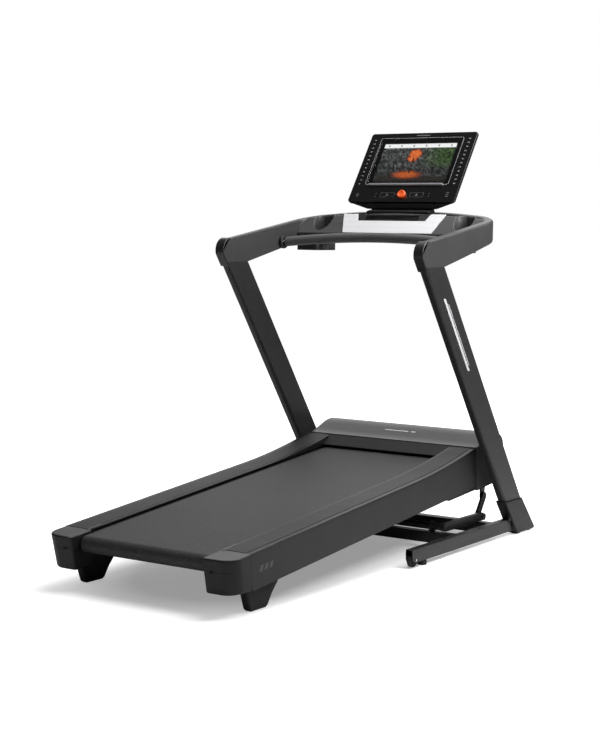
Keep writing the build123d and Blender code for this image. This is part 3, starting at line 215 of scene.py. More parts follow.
def rolled(node, name, width, finish, steps=3, where=None, angle=30, smooth=38):
    """A merged copy of a CAD node with its hard edges rolled over, standing for that node."""
    source = frame["nodes"][node]
    mesh = bpy.data.meshes.new(name)
    work = bmesh.new()
    work.from_mesh(source.data)
    bmesh.ops.remove_doubles(work, verts=work.verts, dist=0.00002)
    bmesh.ops.dissolve_limit(work, angle_limit=radians(0.5), verts=work.verts, edges=work.edges)
    bmesh.ops.recalc_face_normals(work, faces=work.faces)
    hard = [e for e in work.edges if len(e.link_faces) == 2 and e.is_convex
            and e.calc_face_angle(0) > radians(angle)
            and (where is None or where((e.verts[0].co + e.verts[1].co) / 2))]
    bmesh.ops.bevel(work, geom=hard, offset=width, offset_type="OFFSET", segments=steps, profile=0.5,
                    affect="EDGES", clamp_overlap=False)
    bmesh.ops.triangulate(work, faces=[f for f in work.faces if len(f.verts) > 4])
    work.to_mesh(mesh)
    work.free()
    piece = bpy.data.objects.new(name, mesh)
    scene.collection.objects.link(piece)
    return settle(piece, finish, source["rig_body"], (node,), smooth)


# Satin black powder coat over welded steel tube: soft highlight, faint orange peel.
POWDER_BLACK = surface("steel_black_powder_coat", "#151516", 0.45, grain=1.6, depth=0.00008)
rolled("base_legs", "floor_tubes", 0.0035, POWDER_BLACK, where=lambda p: p.y > 0.025)
rolled("base_cross_tubes", "cross_tubes", 0.001, POWDER_BLACK)
rolled("lift_pivot_ears", "pivot_ears", 0.0008, POWDER_BLACK)
rolled("drive_clevis", "drive_fork", 0.0008, POWDER_BLACK)
# Moulded rubber: matt, slightly uneven.
RUBBER = surface("rubber_black_moulded", "#161617", 0.78, grain=1.1, depth=0.0001)
rolled("floor_pads", "levelling_pads", 0.0012, RUBBER)


def keep(finish, *nodes):
    """Paint CAD nodes that are shown as they are."""
    for node in nodes:
        frame["nodes"][node].data.materials.clear()
        frame["nodes"][node].data.materials.append(finish)


# Turned and ground steel: fine rings round the axis, bright.
STEEL = surface("steel_turned_bright", "#b4b4b6", 0.26, grain=0.5, depth=0.00002, metallic=1.0,
                stretch=(4, 1, 1))
keep(STEEL, "wheel_axles")


def lathe(name, profile, centre, axis, steps=48):
    """A turned piece: (radius, distance along the axis) pairs swept round an axis through a point."""
    axis = Vector(axis).normalized()
    side = axis.orthogonal().normalized()
    other = axis.cross(side)
    points = []
    for i in range(steps):
        out = side * cos(2 * pi * i / steps) + other * sin(2 * pi * i / steps)
        points += [Vector(centre) + out * r + axis * d for r, d in profile]
    n = len(profile)
    faces = []
    for i in range(steps):
        for k in range(n - 1):
            a, b = i * n + k, ((i + 1) % steps) * n + k
            faces.append((a, a + 1, b + 1, b))
    piece = build(name, points, faces)
    work = bmesh.new()
    work.from_mesh(piece.data)
    bmesh.ops.remove_doubles(work, verts=work.verts, dist=0.000001)
    bmesh.ops.holes_fill(work, edges=[e for e in work.edges if e.is_boundary])
    bmesh.ops.recalc_face_normals(work, faces=work.faces)
    work.to_mesh(piece.data)
    work.free()
    return piece


# Small moulded wheels sit inside the open tips of the floor tubes, with a grooved tread and a sunk hub.
for side, body in ((-1, "left_wheel"), (1, "right_wheel")):
    half = 0.0085
    tread = [(0.0052, -half + 0.003), (0.013, -half + 0.003), (0.0145, -half + 0.001),
             (0.0215, -half + 0.001), (0.0235, -half), (0.0252, -half + 0.0012),
             (0.026, -half + 0.003), (0.026, -0.0012), (0.0252, -0.0006),
             (0.0252, 0.0006), (0.026, 0.0012), (0.026, half - 0.003),
             (0.0252, half - 0.0012), (0.0235, half), (0.0215, half - 0.001),
             (0.0145, half - 0.001), (0.013, half - 0.003), (0.0052, half - 0.003),
             (0.0052, -half + 0.003)]
    wheel = lathe(f"{body}_tread", tread, (side * 0.417, 0.044, 0.0275), (1, 0, 0))
    settle(wheel, RUBBER, body, (body.replace("_wheel", "_transport_wheel"),), smooth=50)

# ================= uprights and boots =================
# Flat-oval steel tubes, raked towards the user, in dark metallic powder coat.
# Warm dark metallic powder coat of the uprights: broad sheen, fine flake.
POWDER_GREY = surface("steel_metallic_grey_powder_coat", "#303031", 0.38, grain=1.2, depth=0.00005,
                      metallic=0.2, index=1.38)
rolled("uprights", "raked_uprights", 0.011, POWDER_GREY, steps=6,
       where=lambda p: 0.09 < p.z < 1.02 and (abs(p.x) < 0.405 or abs(p.x) > 0.438))


def beside(x):
    """Points on a side face: (y, z) and how far it stands out from x."""
    return lambda u, v, t: Vector((x + (t if x > 0 else -t), u, v))


def rake(z):
    """Y of the uprights' rear line at a height."""
    return 0.0784 + (1.0193 - z) * 0.7065


def prism(name, outlines, place, low, high, edge=0.0, steps=2):
    """Plates cut to flat outlines: place(u, v, t) gives a point, and t runs from low to high."""
    work = bmesh.new()
    for outline in outlines:
        bottom = [work.verts.new(place(u, v, low)) for u, v in outline]
        top = [work.verts.new(place(u, v, high)) for u, v in outline]
        work.faces.new(bottom)
        work.faces.new(top)
        for i in range(len(outline)):
            j = (i + 1) % len(outline)
            work.faces.new((bottom[i], bottom[j], top[j], top[i]))
    bmesh.ops.recalc_face_normals(work, faces=work.faces)
    if edge:
        hard = [e for e in work.edges if e.calc_face_angle(0) > radians(30)]
        bmesh.ops.bevel(work, geom=hard, offset=edge, offset_type="OFFSET", segments=steps, profile=0.5,
                        affect="EDGES", clamp_overlap=True)
    bmesh.ops.triangulate(work, faces=[f for f in work.faces if len(f.verts) > 4])
    mesh = bpy.data.meshes.new(name)
    work.to_mesh(mesh)
    work.free()
    piece = bpy.data.objects.new(name, mesh)
    scene.collection.objects.link(piece)
    return piece


# A printed pair of pale lines stands where such machines carry lettering: a plain generic mark.
PRINT_PALE = surface("ink_pale_grey_screen_print", "#c4c4c6", 0.5, grain=2, depth=0.00001, mottle=0.03)
for side in (-1, 1):
    bars = []
    for start, end, depth, wide in ((0.925, 0.66, 0.048, 0.015), (0.905, 0.68, 0.068, 0.004)):
        bars.append([(rake(start) + depth, start), (rake(start) + depth + wide, start),
                     (rake(end) + depth + wide, end), (rake(end) + depth, end)])
    mark = prism(f"upright_mark_{'right' if side > 0 else 'left'}", bars, beside(side * 0.4386), 0.00005,
                 0.0003)
    settle(mark, PRINT_PALE, "base")


def merged(name, *pieces):
    """Join loose pieces into one object."""
    work = bmesh.new()
    for piece in pieces:
        work.from_mesh(piece.data)
    mesh = bpy.data.meshes.new(name)
    work.to_mesh(mesh)
    work.free()
    for piece in pieces:
        bpy.data.objects.remove(piece)
    whole = bpy.data.objects.new(name, mesh)
    scene.collection.objects.link(whole)
    return whole


# Mid-dark grained covers of the deck.
COVER_ABS = surface("abs_charcoal_fine_grain", "#151515", 0.44, grain=0.9, depth=0.00006, index=1.38)
# Moulded boots close round the foot of each upright and taper forward to the floor.
for side in (-1, 1):
    shoe = prism(f"boot_{'right' if side > 0 else 'left'}",
                 [[(rake(0.141) - 0.004, 0.141), (rake(0.004) + 0.006, 0.004), (0.947, 0.004),
                   (0.947, 0.014), (rake(0.141) + 0.134, 0.141)]],
                 beside(side * 0.398), 0, 0.046, 0.005, 4)
    settle(shoe, COVER_ABS, "base", ("boots",))
    gusset = prism(f"leg_gusset_{'right' if side > 0 else 'left'}",
                   [[(0.738, 0.060), (0.741, 0.094), (0.760, 0.104), (0.812, 0.022), (0.800, 0.010),
                     (0.784, 0.018), (0.762, 0.060)]], beside(side * 0.4312), 0, 0.006, 0.001)
    settle(gusset, POWDER_BLACK, "base")
    parts = []
    for n, (y, z) in enumerate(((0.742, 0.112), (0.782, 0.112), (0.800, 0.048))):
        x = side * 0.398
        parts.append(lathe(f"bolt_{n}",
                           [(0, 0.0048), (0.003, 0.0048), (0.0034, 0.0026), (0.0046, 0.0026),
                            (0.0052, 0.0049), (0.0066, 0.0049), (0.0075, 0.004), (0.0079, 0.0012),
                            (0.0082, 0.0008), (0.0082, 0)], (x, y, z), (-side, 0, 0), 24))
    bolts = merged(f"boot_bolts_{'right' if side > 0 else 'left'}", *parts)
    settle(bolts, STEEL, "base", ("boot_bolts",))

# ================= handrails, grip bar and console =================
# One moulded graphite loop runs from upright to upright round the front of the console.
# Injection-moulded graphite shell with a spark-eroded grain: nearly matt.
GRAPHITE = surface("abs_graphite_fine_grain", "#383839", 0.4, grain=0.8, depth=0.00005)
# The arms end in caps of the same resin, a shade darker.
CAP_ABS = surface("abs_dark_graphite_fine_grain", "#232324", 0.36, grain=0.8, depth=0.00005)
rolled("handrail_shell", "handrail_loop", 0.009, GRAPHITE, steps=4, angle=35,
       where=lambda p: p.y > 0.09 and p.z > 1.10 and not (abs(p.x) < 0.4355 and p.z < 1.12 and p.y < 0.3))
rolled("arm_caps", "rear_arm_caps", 0.003, CAP_ABS, steps=4)
keep(POWDER_BLACK, "handrail_tubes", "grip_bar_core")

# Foam-sleeved grip bar, arched, in dark sockets at the handrails.
FOAM = surface("nitrile_foam_black_skin", "#505051", 0.62, grain=0.9, depth=0.00015)
rolled("grip_bar_foam", "foam_grip", 0.004, FOAM)
# Darker moulded plastic of caps, wells and lower covers.
DARK_ABS = surface("abs_black_fine_grain", "#131314", 0.5, grain=0.8, depth=0.00006)
rolled("grip_sockets", "bar_sockets", 0.004, DARK_ABS, steps=4)

# Console tray with two deep cup wells, moulded in one, each mouth with a rolled lip.
TRAY_ABS = surface("abs_grey_fine_grain", "#4c4c4d", 0.38, grain=0.9, depth=0.00006)
rolled("console_tray", "tray", 0.0022, TRAY_ABS, angle=40)
for side in (-1, 1):
    lip = lathe(f"cup_lip_{'right' if side > 0 else 'left'}",
                [(0.0405, -0.012), (0.0385, -0.012), (0.0375, -0.008), (0.0375, 0.0), (0.0385, 0.0012),
                 (0.0405, 0.0012)],
                (side * 0.310, 0.574, 1.150), (0, 0, 1), 64)
    settle(lip, DARK_ABS, "base")


def rounded(width, height, radius, centre=(0, 0), steps=6):
    """Outline of a rounded rectangle."""
    outline = []
    for quarter, (sx, sy) in enumerate(((1, 1), (-1, 1), (-1, -1), (1, -1))):
        for k in range(steps + 1):
            angle = pi / 2 * (quarter + k / steps)
            outline.append((centre[0] + sx * (width / 2 - radius) + radius * cos(angle),
                            centre[1] + sy * (height / 2 - radius) + radius * sin(angle)))
    return outline


def ring(name, outer, inner, place, low, high):
    """A flat band between two outlines with the same number of points."""
    n = len(outer)
    points = [place(u, v, t) for t in (low, high) for line in (outer, inner) for u, v in line]
    faces = []
    for i in range(n):
        j = (i + 1) % n
        faces += [(i, j, n + j, n + i), (2 * n + i, 3 * n + i, 3 * n + j, 2 * n + j),
                  (i, 2 * n + i, 2 * n + j, j), (n + i, n + j, 3 * n + j, 3 * n + i)]
    return build(name, points, faces)


# A plain tub closes the tray's left end from below.
tub = ring("cable_tub_left", rounded(0.100, 0.100, 0.016, (-0.343, 0.548)),
           rounded(0.0845, 0.0845, 0.04225, (-0.310, 0.574)),
           lambda u, v, t: Vector((u, v, t)), 1.0765, 1.118)
settle(tub, DARK_ABS, "base")


FACE_SLOPE = radians(50)


def on_face(x, v, t):
    """A point on the sloping console face: across, up the face, out of it."""
    a = FACE_SLOPE
    return Vector((x, 0.524 + v * cos(a) - t * sin(a), 1.144 + v * sin(a) + t * cos(a)))


def silver():
    """Satin silver paint with a fine printed dot lattice."""
    made, tree, place = new_material("abs_silver_paint_dot_print")
    dots = add(tree, "ShaderNodeTexVoronoi", Vector=place, Scale=1000 / 3.2, Randomness=0.0)
    edge = add(tree, "ShaderNodeMapRange", Value=dots.outputs["Distance"], From_Min=0.20, From_Max=0.26)
    tone = add(tree, "ShaderNodeMixRGB", Fac=edge.outputs[0], Color1=colour("#c4c4c6"),
               Color2=colour("#e6e6e8"))
    sink = add(tree, "ShaderNodeBump", Strength=0.5, Distance=0.0001, Height=edge.outputs[0])
    show(tree, add(tree, "ShaderNodeBsdfPrincipled", Base_Color=tone.outputs[0], Roughness=0.4,
                   Metallic=0.1, IOR=1.5, Normal=sink.outputs[0]))
    return made


rolled("silver_panel", "dotted_panel", 0.0008, silver())

# Black air outlet: angled louvres in a frame, over a cross-flow fan.
rolled("fan_grille", "outlet_frame", 0.0004, DARK_ABS)
louvre = prism("louvre", [[(-0.118, 0), (0.118, 0), (0.118, 0.0032), (-0.118, 0.0032)]],
               lambda u, v, t: Vector((u, v, t - v * 0.5)), 0.0004, 0.0024, 0.0004)


def repeated(name, item, columns, rows, step, origin, turn, finish):
    """Rows of a small piece set out with geometry nodes, then made into one plain mesh."""
    group = bpy.data.node_groups.new(name, "GeometryNodeTree")
    sockets = {}
    for label, kind, value in (("Columns", "NodeSocketInt", columns),
                               ("Count", "NodeSocketInt", columns * rows),
                               ("Step across", "NodeSocketFloat", step[0]),
                               ("Step along", "NodeSocketFloat", step[1])):
        sockets[label] = (group.interface.new_socket(label, in_out="INPUT", socket_type=kind).identifier,
                          value)
    group.interface.new_socket("Geometry", in_out="OUTPUT", socket_type="NodeSocketGeometry")
    given = add(group, "NodeGroupInput")
    index = add(group, "GeometryNodeInputIndex").outputs[0]
    column = add(group, "ShaderNodeMath", operation="MODULO", Value=index,
                 Value_b=given.outputs["Columns"])
    row = add(group, "ShaderNodeMath", operation="DIVIDE", Value=index, Value_b=given.outputs["Columns"])
    row = add(group, "ShaderNodeMath", operation="FLOOR", Value=row.outputs[0])
    across = add(group, "ShaderNodeMath", operation="MULTIPLY", Value=column.outputs[0],
                 Value_b=given.outputs["Step across"])
    along = add(group, "ShaderNodeMath", operation="MULTIPLY", Value=row.outputs[0],
                Value_b=given.outputs["Step along"])
    spot = add(group, "ShaderNodeCombineXYZ", X=across.outputs[0], Y=along.outputs[0])
    points = add(group, "GeometryNodePoints", Count=given.outputs["Count"], Position=spot.outputs[0])
    one = add(group, "GeometryNodeObjectInfo", Object=item)
    copies = add(group, "GeometryNodeInstanceOnPoints", Points=points.outputs[0],
                 Instance=one.outputs["Geometry"])
    real = add(group, "GeometryNodeRealizeInstances", Geometry=copies.outputs[0])
    placed = add(group, "GeometryNodeTransform", Geometry=real.outputs[0], Translation=origin,
                 Rotation=turn)
    painted = add(group, "GeometryNodeSetMaterial", Geometry=placed.outputs[0], Material=finish)
    group.links.new(painted.outputs[0], add(group, "NodeGroupOutput").inputs[0])
    piece = build(name, [], [])
    modifier = piece.modifiers.new("rows", "NODES")
    modifier.node_group = group
    for identifier, value in sockets.values():
        modifier[identifier] = value
    bpy.context.view_layer.update()
    made = bpy.data.meshes.new_from_object(piece.evaluated_get(bpy.context.evaluated_depsgraph_get()))
    piece.modifiers.clear()
    piece.data = made
    bpy.data.objects.remove(item)
    return piece


# The louvres' front edges are polished by the tool; the louvres are also painted a lighter grey than the
# grained parts round them, a painted highlight for the light those edges catch.
LOUVRE_HIGHLIGHT = surface("abs_black_polished_edge", "#39393a", 0.3, grain=2, depth=0.00001)
louvres = repeated("outlet_louvres", louvre, 1, 5, (0, 0.0058), on_face(0, 0.0662, 0.0014),
                   (FACE_SLOPE, 0, 0), LOUVRE_HIGHLIGHT)
settle(louvres, LOUVRE_HIGHLIGHT, "base")
keep(DARK_ABS, "fan_housing", "fan_rotor")
keep(STEEL, "display_hinge_pin")
neck = prism("neck_block", [[(0.604, 1.220), (0.604, 1.2300), (0.630, 1.2350), (0.653, 1.2365),
                             (0.658, 1.220)]],
             lambda u, v, t: Vector((t, u, v)), -0.137, 0.137, 0.002)
settle(neck, DARK_ABS, "base", ("display_bracket",))
# A hinge barrel along the tilt axis closes the gap between the neck and the display.
barrel = lathe("hinge_barrel", [(0, -0.137), (0.0080, -0.137), (0.0086, -0.1364), (0.0086, 0.1364),
                                (0.0080, 0.137), (0, 0.137)],
               (0, 0.645, 1.244), (1, 0, 0), 40)
settle(barrel, DARK_ABS, "base")

# ================= display =================
# A glossy black touch display leaning back over the console.


SCREEN_LEAN = radians(34.3)
SCREEN_FOOT = (0.6213, 1.2663)


def on_screen(x, v, t):
    """A point on the display: across, up its face, out of it."""
    a = SCREEN_LEAN
    return Vector((x, SCREEN_FOOT[0] + v * sin(a) - t * cos(a), SCREEN_FOOT[1] + v * cos(a) + t * sin(a)))


# Polished black moulding under a clear hard coat: mirror-like at a shallow angle.
PIANO = surface("abs_piano_black_hard_coat", "#0c0c0d", 0.12, grain=30, depth=0.00001, coat=0.6,
                mottle=0.02)
rolled("display_bezel", "bezel", 0.002, PIANO, steps=3,
       where=lambda p: abs(p.x) > 0.22 or p.z < 1.276 or p.z > 1.522)
rolled("display_rear_shell", "rear_shell", 0.005, DARK_ABS, steps=3, angle=28,
       where=lambda p: p.y > 0.63 or abs(p.x) > 0.08)
chin = bmesh.new()
for x, v, t in ((0.231, 0.003, -0.012), (0.153, -0.013, -0.031), (0.166, 0.016, -0.0338)):
    for side in (-1, 1):
        chin.verts.new(on_screen(side * x, v, t))
bmesh.ops.convex_hull(chin, input=chin.verts)
chin_mesh = bpy.data.meshes.new("rear_chin")
chin.to_mesh(chin_mesh)
chin.free()
chin_piece = bpy.data.objects.new("rear_chin", chin_mesh)
scene.collection.objects.link(chin_piece)
settle(chin_piece, DARK_ABS, "display")
keep(surface("epoxy_green_solder_mask", "#1d5a38", 0.4, grain=2), "display_board", "controller_board")


def picture():
    """A lit picture of a generic trail: dark scrub, green growth and an orange autumn tree."""
    made, tree, place = new_material("lcd_lit_landscape")
    parts = add(tree, "ShaderNodeSeparateXYZ", Vector=place)

    def calc(operation, a, b=0.0):
        return add(tree, "ShaderNodeMath", operation=operation, Value=a, Value_b=b).outputs[0]

    def mix(amount, a, b):
        return add(tree, "ShaderNodeMixRGB", Fac=amount, Color1=a, Color2=b).outputs[0]

    def soft(value, low, high):
        return add(tree, "ShaderNodeMapRange", Value=value, From_Min=low, From_Max=high).outputs[0]

    x = parts.outputs["X"]
    v = calc("DIVIDE", calc("SUBTRACT", parts.outputs["Z"], SCREEN_FOOT[1]), cos(SCREEN_LEAN))
    flat = add(tree, "ShaderNodeCombineXYZ", X=x, Y=v).outputs[0]
    scrub = add(tree, "ShaderNodeTexNoise", Vector=flat, Scale=130.0, Detail=8.0,
                Distortion=1.5).outputs[0]
    slope_side = add(tree, "ShaderNodeTexNoise", Vector=flat, Scale=22.0, Detail=3.0).outputs[0]
    scene_tone = mix(soft(scrub, 0.5, 0.72), colour("#0c0d0d"),
                     mix(slope_side, colour("#444846"), colour("#d2d5d3")))
    leafy = calc("MULTIPLY", soft(x, 0.02, 0.11), soft(v, 0.15, 0.19))
    scene_tone = mix(leafy, scene_tone, mix(soft(scrub, 0.46, 0.64), colour("#131a12"),
                                            colour("#5d7d4a")))
    track = soft(calc("SUBTRACT", 0.122, v), -0.004, 0.012)
    scene_tone = mix(track, scene_tone, mix(scrub, colour("#1c1b19"), colour("#4b4641")))
    leaves = add(tree, "ShaderNodeTexNoise", Vector=flat, Scale=210.0, Detail=6.0).outputs[0]
    ember = mix(soft(leaves, 0.4, 0.62), colour("#b23c17"), colour("#f08a4a"))
    for centre, wide, high, ragged in (((-0.008, 0.226), 0.034, 0.027, 0.5),
                                       ((-0.016, 0.205), 0.026, 0.019, 0.5),
                                       ((-0.020, 0.128), 0.074, 0.021, 0.8)):
        off_x = calc("DIVIDE", calc("SUBTRACT", x, centre[0]), wide)
        off_v = calc("DIVIDE", calc("SUBTRACT", v, centre[1]), high)
        reach = calc("ADD", calc("MULTIPLY", off_x, off_x), calc("MULTIPLY", off_v, off_v))
        edge = calc("ADD", reach, calc("MULTIPLY", calc("SUBTRACT", leaves, 0.5), ragged * 4))
        scene_tone = mix(soft(calc("SUBTRACT", 0.62, edge), 0.0, 0.06), scene_tone, ember)
    trunk = calc("MULTIPLY", calc("LESS_THAN", calc("ABSOLUTE", calc("ADD", x, 0.010)), 0.0035),
                 calc("MULTIPLY", calc("LESS_THAN", v, 0.208), calc("GREATER_THAN", v, 0.135)))
    sky = mix(trunk, scene_tone, colour("#241a14"))
    bar = soft(v, 0.2550, 0.2553)
    ticks = calc("LESS_THAN", calc("ABSOLUTE",
                                   calc("SUBTRACT", calc("FRACT", calc("MULTIPLY", x, 18.0)), 0.5)), 0.06)
    label = calc("MULTIPLY", ticks, calc("MULTIPLY", calc("GREATER_THAN", v, 0.2605),
                                         calc("LESS_THAN", v, 0.2685)))
    sky = mix(bar, sky, mix(label, colour("#f2f3f3"), colour("#7a7d80")))
    inside = calc("MULTIPLY", calc("LESS_THAN", calc("ABSOLUTE", x), 0.160),
                  calc("MULTIPLY", calc("LESS_THAN", v, 0.274), calc("GREATER_THAN", v, 0.096)))
    lit = mix(inside, colour("#050506"), sky)
    show(tree, add(tree, "ShaderNodeBsdfPrincipled", Base_Color=colour("#050506"), Roughness=0.3, IOR=1.5,
                   Emission_Color=lit, Emission_Strength=1.0))
    return made


keep(picture(), "display_panel")


def clear_glass():
    """Bonded cover glass: clear straight on, with a mirror skin that grows to the edge of view."""
    made, tree, place = new_material("glass_chemically_strengthened")
    wipe = add(tree, "ShaderNodeTexNoise", Vector=place, Scale=40.0, Detail=3.0)
    skin = add(tree, "ShaderNodeBsdfGlossy", Color=(1, 1, 1, 1),
               Roughness=add(tree, "ShaderNodeMapRange", Value=wipe.outputs[0], To_Min=0.02,
                             To_Max=0.06).outputs[0])
    clear = add(tree, "ShaderNodeBsdfTransparent", Color=(1, 1, 1, 1))
    rim = add(tree, "ShaderNodeFresnel", IOR=1.5)
    both = add(tree, "ShaderNodeMixShader", Fac=rim.outputs[0])
    tree.links.new(clear.outputs[0], both.inputs[1])
    tree.links.new(skin.outputs[0], both.inputs[2])
    show(tree, both)
    return made


rolled("display_glass", "cover_glass", 0.0003, clear_glass())

# Thin satin line framing the glass, printed outlines round the two keys, and pale generic marks beside
# the picture.
LINE_SILVER = surface("ink_silver_fine_line", "#a4a4a7", 0.35, grain=2, depth=0.00001, metallic=0.4,
                      mottle=0.03)
frame_line = ring("glass_line", rounded(0.371, 0.224, 0.010, (0, 0.191)),
                  rounded(0.367, 0.220, 0.008, (0, 0.191)), on_screen, 0.00005, 0.00025)
settle(frame_line, LINE_SILVER, "display")
PRINT_GREY = surface("ink_mid_grey_pad_print", "#5c5c5e", 0.5, grain=2, depth=0.00001, mottle=0.03)
for body, x in (("start_key", -0.065), ("stop_key", 0.065)):
    outline = ring(f"{body}_outline", rounded(0.060, 0.0205, 0.0035, (x, 0.031)),
                   rounded(0.0584, 0.0189, 0.003, (x, 0.031)), on_screen, 0.0008, 0.00095)
    mark = ([(x - 0.004, 0.0255), (x + 0.006, 0.031), (x - 0.004, 0.0365)] if x < 0 else
            [(x - 0.0045, 0.0265), (x + 0.0045, 0.0265), (x + 0.0045, 0.0355), (x - 0.0045, 0.0355)])
    symbol = prism(f"{body}_symbol", [mark], on_screen, 0.0008, 0.00095)
    settle(merged(f"{body}_print", outline, symbol), PRINT_GREY, body)
    rolled(body, f"{body}_cap", 0.0003, PIANO)
LEGEND_GREY = surface("ink_light_grey_pad_print", "#8c8c8f", 0.5, grain=2, depth=0.00001, mottle=0.03)
for side in (-1, 1):
    spot = ring("legend", rounded(0.0096, 0.0052, 0.0022), rounded(0.0088, 0.0044, 0.0018),
                lambda u, v, t: Vector((u, v, t)), 0.0, 0.00015)
    dash = prism("legend_dash", [rounded(0.0074, 0.003, 0.0012)],
                 lambda u, v, t: Vector((u, v, t)), 0.0, 0.00015)
    legends = repeated(f"legends_{'right' if side > 0 else 'left'}", merged("legend_item", spot, dash),
                       1, 12, (0, 0.0192), on_screen(side * 0.210, 0.084, 0.0001),
                       (radians(90) - SCREEN_LEAN, 0, 0), LEGEND_GREY)
    settle(legends, LEGEND_GREY, "display")
arrows = [[(-0.204, 0.034), (-0.196, 0.034), (-0.200, 0.041)],
          [(-0.204, 0.028), (-0.196, 0.028), (-0.200, 0.021)],
          rounded(0.016, 0.0022, 0.001, (-0.200, 0.031))]
pips = [rounded(0.004, 0.004, 0.0018, (x, v)) for x in (-0.118, 0.118) for v in (0.025, 0.037)]
marks = [rounded(0.013, 0.0028, 0.0012, (0.196, v)) for v in (0.024, 0.033, 0.042)]
top_mark = rounded(0.062, 0.0042, 0.0018, (0, 0.3135))
settle(prism("lower_marks", arrows + pips + marks + [top_mark], on_screen, 0.00005, 0.0002), PRINT_GREY,
       "display")

# Grey ledge that keeps a book or tablet from sliding down.
LEDGE = surface("tpe_grey_ledge", "#77777a", 0.6, grain=1)
rolled("display_ledge", "tablet_ledge", 0.0008, LEDGE)

# Round orange safety key, dished on top for a finger, standing on a short stem.
ORANGE = surface("abs_orange_satin", "#e2571a", 0.35, grain=1.5, depth=0.00002, coat=0.3, mottle=0.04)
dished = [(0, 0.0092), (0.006, 0.0094), (0.010, 0.0104), (0.0125, 0.0113), (0.0148, 0.0112),
          (0.0163, 0.0100), (0.0169, 0.0080), (0.0170, 0.0020), (0.0162, 0.0006), (0.0075, 0.0006),
          (0.0075, -0.0078), (0, -0.0078)]
settle(lathe("safety_button", dished, on_screen(0, 0.031, 0),
             on_screen(0, 0, 1) - on_screen(0, 0, 0), 64),
       ORANGE, "safety_key", ("safety_key",))

# ================= deck: belt, rails and covers =================
DECK_PITCH = radians(5.3)
DECK_START = (-0.7995, 0.1871)


def on_deck(x, s, h):
    """A point on the pitched deck: across, along, above the belt."""
    a = DECK_PITCH
    return Vector((x, DECK_START[0] + s * cos(a) - h * sin(a), DECK_START[1] + s * sin(a) + h * cos(a)))


def belt():
    """Two-ply running belt: pebbled PVC face with a faint pale speckle, dull and slightly dusty."""
    made, tree, place = new_material("pvc_belt_pebble_face")
    speck = add(tree, "ShaderNodeTexNoise", Vector=place, Scale=1000 / 2.4, Detail=2.0)
    cloud = add(tree, "ShaderNodeTexNoise", Vector=place, Scale=6.0, Detail=3.0)
    base = add(tree, "ShaderNodeMixRGB", Fac=cloud.outputs[0], Color1=colour("#262627"),
               Color2=colour("#2f2f30"))
    lightest = add(tree, "ShaderNodeMapRange", Value=speck.outputs[0], From_Min=0.58, From_Max=0.72)
    tone = add(tree, "ShaderNodeMixRGB", Fac=lightest.outputs[0], Color1=base.outputs[0],
               Color2=colour("#5c5c5e"))
    pebble = add(tree, "ShaderNodeTexVoronoi", Vector=place, Scale=1000 / 1.8)
    bump = add(tree, "ShaderNodeBump", Strength=0.5, Distance=0.00015, Height=pebble.outputs["Distance"])
    show(tree, add(tree, "ShaderNodeBsdfPrincipled", Base_Color=tone.outputs[0], Roughness=0.68, IOR=1.5,
                   Normal=bump.outputs[0]))
    return made


rolled("walking_belt", "running_belt", 0.0004, belt(), angle=60, smooth=60)
rolled("foot_rails", "side_rails", 0.0018, COVER_ABS, angle=50)
rolled("side_covers", "deck_skirts", 0.0012, COVER_ABS, angle=50)

# Ribbed rubber treads let into the top of each side rail.
TREAD = surface("tpe_ribbed_tread", "#202021", 0.62, grain=1)
rolled("foot_strips", "tread_pads", 0.0004, TREAD, angle=50)

# Rear corner mouldings, with a painted highlight that makes their tops paler, a parting line below and
# one screw each.
GROOVE_H = -0.033


def parted():
    """Charcoal moulding with a dark parting groove under the top, and up-facing faces painted paler as a
    painted highlight.
    """
    made, tree, place = new_material("abs_charcoal_parting_groove")
    a = DECK_PITCH
    rise = add(tree, "ShaderNodeVectorMath", operation="DOT_PRODUCT", Vector=place,
               Vector_b=(0, -sin(a), cos(a)))
    groove = on_deck(0, 0, GROOVE_H).dot(Vector((0, -sin(a), cos(a))))
    off = add(tree, "ShaderNodeMath", operation="SUBTRACT", Value=rise.outputs["Value"], Value_b=groove)
    off = add(tree, "ShaderNodeMath", operation="ABSOLUTE", Value=off.outputs[0])
    flat = add(tree, "ShaderNodeMapRange", Value=off.outputs[0], From_Min=0.0004, From_Max=0.0009)
    cloud = add(tree, "ShaderNodeTexNoise", Vector=place, Scale=12.0, Detail=4.0)
    up = add(tree, "ShaderNodeNewGeometry").outputs["Normal"]
    level = add(tree, "ShaderNodeSeparateXYZ", Vector=up).outputs["Z"]
    # Up-facing faces are painted paler: a painted highlight on the tops.
    painted_top_highlight = add(tree, "ShaderNodeMapRange", Value=level, From_Min=0.6, From_Max=0.95, To_Max=0.55)
    plain = add(tree, "ShaderNodeMixRGB", Fac=cloud.outputs[0], Color1=colour("#151515"),
                Color2=colour("#191919"))
    body = add(tree, "ShaderNodeMixRGB", Fac=painted_top_highlight.outputs[0], Color1=plain.outputs[0],
               Color2=colour("#5a5a5b"))
    tone = add(tree, "ShaderNodeMixRGB", Fac=flat.outputs[0], Color1=colour("#060606"),
               Color2=body.outputs[0])
    grain = add(tree, "ShaderNodeTexNoise", Vector=place, Scale=1100.0, Detail=2.0)
    fine = add(tree, "ShaderNodeBump", Strength=0.6, Distance=0.00006, Height=grain.outputs[0])
    sunk = add(tree, "ShaderNodeBump", Strength=1.0, Distance=0.0006, Height=flat.outputs[0],
               Normal=fine.outputs[0])
    show(tree, add(tree, "ShaderNodeBsdfPrincipled", Base_Color=tone.outputs[0], Roughness=0.46, IOR=1.38,
                   Normal=sunk.outputs[0]))
    return made


def along_deck(p):
    """(across, along, above the belt) of a point: the reverse of on_deck."""
    a = DECK_PITCH
    y, z = p.y - DECK_START[0], p.z - DECK_START[1]
    return p.x, y * cos(a) + z * sin(a), z * cos(a) - y * sin(a)


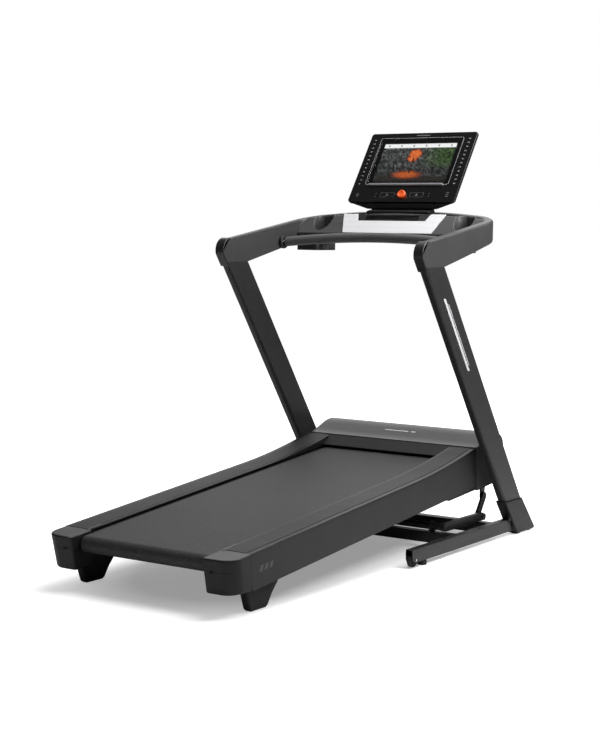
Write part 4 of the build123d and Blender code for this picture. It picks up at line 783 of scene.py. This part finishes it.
# The caps draw in towards the floor below the groove: the rear face leans forward and the outer side
# leans in.
caps = rolled("end_caps", "rear_corner_caps", 0.007, parted(), angle=40, steps=4,
              where=lambda p: along_deck(p)[2] < -0.02 and along_deck(p)[1] < -0.06)
DRAW_DEPTH, DRAW_IN, DRAW_FORWARD = 0.073, 0.006, 0.012
for point in caps.data.vertices:
    x, s, h = along_deck(point.co)
    draw = max(0.0, GROOVE_H - h) / DRAW_DEPTH
    behind = min(1.0, max(0.0, (-0.055 - s) / 0.06))
    lean = DRAW_IN * draw * behind if abs(x) > 0.32 else 0
    point.co = on_deck(x - lean if x > 0 else x + lean, s + DRAW_FORWARD * draw * behind, h)
keep(surface("steel_black_oxide", "#0d0d0e", 0.5, grain=1, metallic=0.6), "end_cap_screws")
rolled("rear_feet", "vee_feet", 0.007, RUBBER, steps=4, where=lambda p: p.z < 0.088)

# Motor hood in satin paint, with its dark fascia and the belly pan below.
HOOD = surface("abs_satin_grey_paint", "#282829", 0.44, grain=1.4, depth=0.00003, coat=0.05, mottle=0.04)
badge = prism("hood_mark", [rounded(0.105, 0.006, 0.0028, (-0.02, 1.472)),
                            rounded(0.020, 0.006, 0.0028, (0.055, 1.472))],
              lambda u, v, t: on_deck(u, v, 0.0558 + t + (v - 1.472) * 0.19), 0.0, 0.0006)
settle(badge, PRINT_PALE, "deck")
PRINT_DIM = surface("ink_grey_pad_print", "#3f3f41", 0.5, grain=2, depth=0.00001, mottle=0.03)
for side in (-1, 1):
    slants = [[(s, -0.058), (s + 0.016, -0.058), (s + 0.024, -0.040), (s + 0.008, -0.040)]
              for s in (-0.012, 0.014, 0.040)]
    badge = prism(f"skirt_mark_{'right' if side > 0 else 'left'}", slants,
                  lambda u, v, t, side=side: on_deck(side * (0.375 + t), u, v), 0.00005, 0.0003)
    settle(badge, PRINT_DIM, "deck")
rolled("motor_hood", "crowned_hood", 0.005, HOOD, angle=45, steps=4)
rolled("hood_fascia", "front_fascia", 0.001, DARK_ABS)
rolled("belly_pan", "belly_pan_skin", 0.0012, DARK_ABS, angle=50)

# Hidden works: film-faced board on cushions, steel frame, rollers, motor and belt.
keep(surface("mdf_black_phenolic_film", "#1a1918", 0.4, grain=3), "deck_board")
keep(RUBBER, "deck_cushions", "drive_belt")
keep(POWDER_BLACK, "deck_side_tubes", "deck_cross_members", "pivot_plates", "carriage_links",
     "roller_brackets")
keep(STEEL, "rear_roller", "front_roller", "motor_flywheel", "deck_pivot_pins")
keep(surface("steel_gloss_black_enamel", "#141415", 0.25, grain=4), "drive_motor")

# ================= incline linkage =================
# Welded lift frame on the rear cross tube, pushed by a screw drive from the front one.
rolled("lift_frame", "lift_arms", 0.0015, POWDER_BLACK)
rolled("incline_drive_housing", "drive_tube", 0.0015,
       surface("steel_black_enamel", "#19191a", 0.3, grain=4))
rolled("incline_drive_screw", "lift_screw", 0.0006, STEEL)
